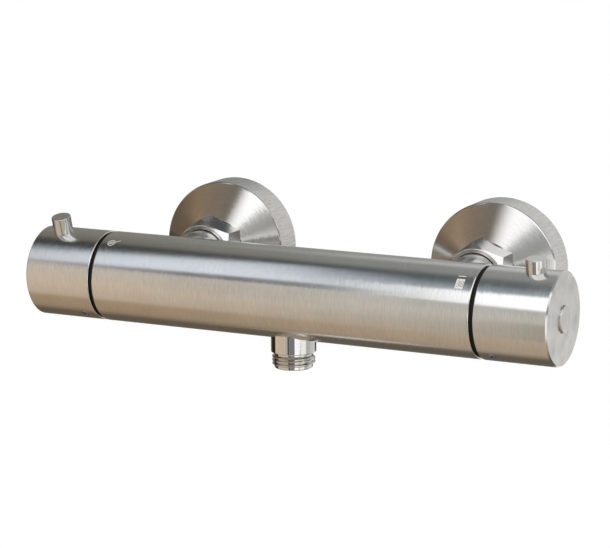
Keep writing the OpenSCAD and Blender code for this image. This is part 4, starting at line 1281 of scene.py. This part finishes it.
@dataclass
class Surroundings:
    """A round wall of cards about the bar, and two flags above the cover plates."""

    radius: float = 0.6
    half_length: float = 1.0
    segments: int = 96
    flag_back: float = 41 * MM
    flag_heights: tuple[float, float] = (28 * MM, 80 * MM)
    flag_fade: float = 26 * MM
    flag_ramp: float = 120 * MM

    def build(self) -> None:
        """Build the wall, its ends and the flags."""
        edge, end = self.radius, self.half_length
        bm = turned(PLACES.bar_axis(), [(edge, -end), (edge, end)], closed=False, steps=self.segments)
        self.finish("reflecting_wall", bm, glow_material("wall_glow", self.paint_wall))
        for side, painter in ((Side.LEFT, self.paint_left_end), (Side.RIGHT, self.paint_right_end)):
            bm = turned(PLACES.bar_axis(side), [(0, end), (edge, end)], closed=False, steps=self.segments)
            self.finish(f"reflecting_end_{side.label}", bm, glow_material(f"end_glow_{side.label}", painter))
        self.build_flag(Side.LEFT, -290 * MM, -54 * MM, (0.36, 0.262, 0.172))
        self.build_flag(Side.RIGHT, -28 * MM, 90 * MM, (0.46, 0.335, 0.23))

    @staticmethod
    def finish(name: str, bm: bmesh.types.BMesh, material: bpy.types.Material) -> None:
        """Make a stage piece that only reflections see.

        Args:
            name: Name of the piece.
            bm: Its bmesh.
            material: Its material.
        """
        piece = to_object(name, bm)
        piece.data.materials.append(material)
        for way in ("camera", "diffuse", "shadow", "transmission", "volume_scatter"):
            setattr(piece, "visible_" + way, False)

    def build_flag(self, side: Side, left: float, right: float, peak: Colour) -> None:
        """Hang one flag between the bar and the wall. It shows on the wall's side only.

        Args:
            side: The cover plate that it shades.
            left: Left end along X.
            right: Right end along X, where the flag fades out.
            peak: Its lightest colour.
        """
        low, high = self.flag_heights
        centre = PLACES.bar_centre + Vector((0, self.flag_back, (low + high) / 2))
        centre.x = (left + right) / 2
        size = Matrix.Diagonal(((right - left) / 2, (high - low) / 2, 1, 1))
        upright = Matrix.Rotation(math.radians(-90), 4, "X")
        bm = bmesh.new()
        bmesh.ops.create_grid(bm, x_segments=1, y_segments=1, size=1,
                              matrix=Matrix.Translation(centre) @ upright @ size)
        shown = right - self.flag_fade

        def paint(graph: Graph, place: Spot) -> Socket:
            """Shade the flag from its right end to the left."""
            across = graph.spread(place[0], 1.0, 0.0, shown - self.flag_ramp, shown)
            return graph.ramp(across, [
                (0.0, (0.25, 0.215, 0.175)), (0.25, (0.31, 0.235, 0.172)), (0.47, peak),
                (0.7, (0.245, 0.175, 0.117)), (1.0, (0.16, 0.12, 0.08))])

        def clear(graph: Graph, place: Spot) -> Socket:
            """Hide the flag's back and fade its right end."""
            back = graph.node("NewGeometry").outputs["Backfacing"]
            return graph.math("MAXIMUM", back, graph.rise(place[0], shown, right))

        self.finish(f"flag_{side.label}", bm, glow_material(f"flag_glow_{side.label}", paint, clear))

    def paint_wall(self, graph: Graph, place: Spot) -> Socket:
        """Paint the room and the cards on the round wall.

        Args:
            graph: Tree of the wall's material.
            place: The shaded point from the bar's centre.

        Returns:
            The colour.
        """
        x, y, z = place
        angle = graph.math("DEGREES", graph.math("ARCTAN2", z, graph.math("MULTIPLY", y, -1.0)))
        rooms = [graph.ramp(angle, stops, -180, 180) for stops in (LEFT_ROOM, RIGHT_ROOM)]
        glow = graph.mix(graph.spread(x, 0.0, 1.0, -0.43, -0.13), *rooms)
        aslant = graph.math("ADD", x, graph.math("MAXIMUM", z, 0.0))
        rear = graph.product(graph.rise(y, 0.36, 0.5), graph.rise(aslant, 0.0, 0.3))
        glow = graph.mix(rear, glow, rgba((0.76, 0.76, 0.74)))
        for card in CARDS:
            glow = graph.mix(card.mask(graph, angle, x), glow, rgba(card.colour))
        return glow

    def paint_left_end(self, graph: Graph, place: Spot) -> Socket:
        """Paint the left end by its height.

        Args:
            graph: Tree of the end's material.
            place: The shaded point from the bar's centre.

        Returns:
            The colour.
        """
        _, y, z = place
        stops = [(-0.6, (0.3, 0.3, 0.3)), (-0.42, (0.18, 0.21, 0.23)), (-0.3, (0.3, 0.33, 0.35)),
                 (-0.18, (0.33, 0.34, 0.31)), (-0.05, (0.15, 0.11, 0.075)), (0.12, (0.2, 0.14, 0.09)),
                 (0.36, (0.46, 0.34, 0.23)), (0.6, (0.4, 0.3, 0.2))]
        level = graph.product(graph.rise(z, -0.37, -0.31), graph.rise(z, -0.05, -0.11))
        shown = graph.mix(graph.rise(y, -0.21, -0.17), rgba((0.85, 0.68, 0.5)), rgba((0.03, 0.024, 0.018)))
        return graph.mix(level, graph.ramp(z, stops, -self.radius, self.radius), shown)

    def paint_right_end(self, graph: Graph, place: Spot) -> Socket:
        """Paint the right end by its height.

        Args:
            graph: Tree of the end's material.
            place: The shaded point from the bar's centre.

        Returns:
            The colour.
        """
        _, y, z = place
        stops = [(-0.6, (1.2, 1.2, 1.2)), (0.1, (1.3, 1.3, 1.3)), (0.13, (0.35, 0.36, 0.36)),
                 (0.3, (0.4, 0.41, 0.41)), (0.4, (1.25, 1.25, 1.24))]
        behind = graph.product(graph.rise(y, 0.0, 0.05), graph.rise(z, 0.02, -0.04))
        return graph.mix(behind, graph.ramp(z, stops, -self.radius, self.radius), rgba((0.62, 0.65, 0.58)))


@dataclass
class Studio:
    """Camera, floor, lamps and world."""

    camera_place: Vector = Vector((0.5055, -1.0878, 0.2304))
    camera_target: Vector = Vector((-0.03643, 0.0, -0.02105))
    camera_roll: float = -0.42
    lens: float = 140.79
    sensor: float = 36.0
    floor_drop: float = 1.4
    floor_size: float = 14.0
    floor_glow: float = 0.3
    world_light: float = 0.75

    def build(self) -> None:
        """Build everything round the valve."""
        bpy.context.scene.view_settings.view_transform = "Standard"
        self.build_camera()
        self.build_world()
        self.build_floor()
        self.build_lamp("key", Vector((-0.9, -1.2, 1.6)), 1.6, 22.0)
        self.build_lamp("fill", Vector((1.4, -0.8, 1.0)), 1.6, 9.0)
        Surroundings().build()

    @staticmethod
    def aimed(name: str, data: bpy.types.ID, place: Vector, target: Vector,
              roll: float = 0.0) -> bpy.types.Object:
        """Place a camera or a lamp so that it points at a target.

        Args:
            name: Name of the object.
            data: The camera or the lamp.
            place: Where it stands.
            target: Where it points.
            roll: Its roll in degrees.

        Returns:
            The new object.
        """
        holder = bpy.data.objects.new(name, data)
        bpy.context.scene.collection.objects.link(holder)
        aim = (target - place).to_track_quat("-Z", "Y").to_matrix().to_4x4()
        holder.matrix_world = Matrix.Translation(place) @ aim @ Matrix.Rotation(math.radians(roll), 4, "Z")
        return holder

    def build_camera(self) -> None:
        """Place the camera at the photograph's angle."""
        data = bpy.data.cameras.new("camera")
        data.lens = self.lens
        data.sensor_fit = "HORIZONTAL"
        data.sensor_width = self.sensor
        bpy.context.scene.camera = self.aimed(
            "camera", data, self.camera_place, self.camera_target, self.camera_roll)

    def build_world(self) -> None:
        """Make a world that is white where it is seen and plain where it lights."""
        world = bpy.data.worlds.new("studio")
        bpy.context.scene.world = world
        world.use_nodes = True
        world.node_tree.nodes.clear()
        graph = Graph(world.node_tree)
        path = graph.node("LightPath").outputs
        seen = graph.math("ADD", path["Is Camera Ray"], path["Is Glossy Ray"])
        seen = graph.math("ADD", seen, path["Is Transmission Ray"], clamp=True)
        lights = [graph.node("Background", {"Color": rgba(WHITE), "Strength": strength}).outputs[0]
                  for strength in (self.world_light, 1.0)]
        graph.node("OutputWorld", {"Surface": graph.mix_shaders(seen, *lights)})

    def build_floor(self) -> None:
        """Lay a pale floor that keeps the shadow and shows white."""
        bm = bmesh.new()
        bmesh.ops.create_grid(bm, x_segments=1, y_segments=1, size=self.floor_size / 2,
                              matrix=Matrix.Translation((0, 0, -self.floor_drop)))
        floor = to_object("floor", bm)
        material, graph, shader = new_material("pale_floor")
        seen = graph.node("LightPath").outputs["Is Camera Ray"]
        graph.put(shader, {
            "Base Color": rgba((0.9, 0.9, 0.9)), "Roughness": 0.9, "Emission Color": rgba(WHITE),
            "Emission Strength": graph.math("MULTIPLY", seen, self.floor_glow)})
        floor.data.materials.append(material)

    def build_lamp(self, name: str, place: Vector, size: float, power: float) -> None:
        """Hang a soft lamp that lights the pale and dark surfaces.

        Args:
            name: Name of the lamp.
            place: Where it hangs.
            size: Its diameter.
            power: Its power in watts.
        """
        lamp = bpy.data.lights.new(name, "AREA")
        lamp.shape = "DISK"
        lamp.size = size
        lamp.energy = power
        holder = self.aimed(name, lamp, place, PLACES.bar_centre)
        holder.visible_glossy = False
        holder.visible_camera = False


def main() -> None:
    """Build the valve's visible pieces and the studio."""
    logging.basicConfig(level=logging.INFO, format="%(name)s: %(message)s")
    BarTube().build()
    Handle(Side.RIGHT, "temp", 7.0).build()
    Handle(Side.LEFT, "flow", 15.0).build()
    for side in Side:
        Inlet(side).build()
    HoseOutlet().build()
    Marks().build()
    Insides().build()
    Studio().build()


if __name__ == "__main__":
    main()
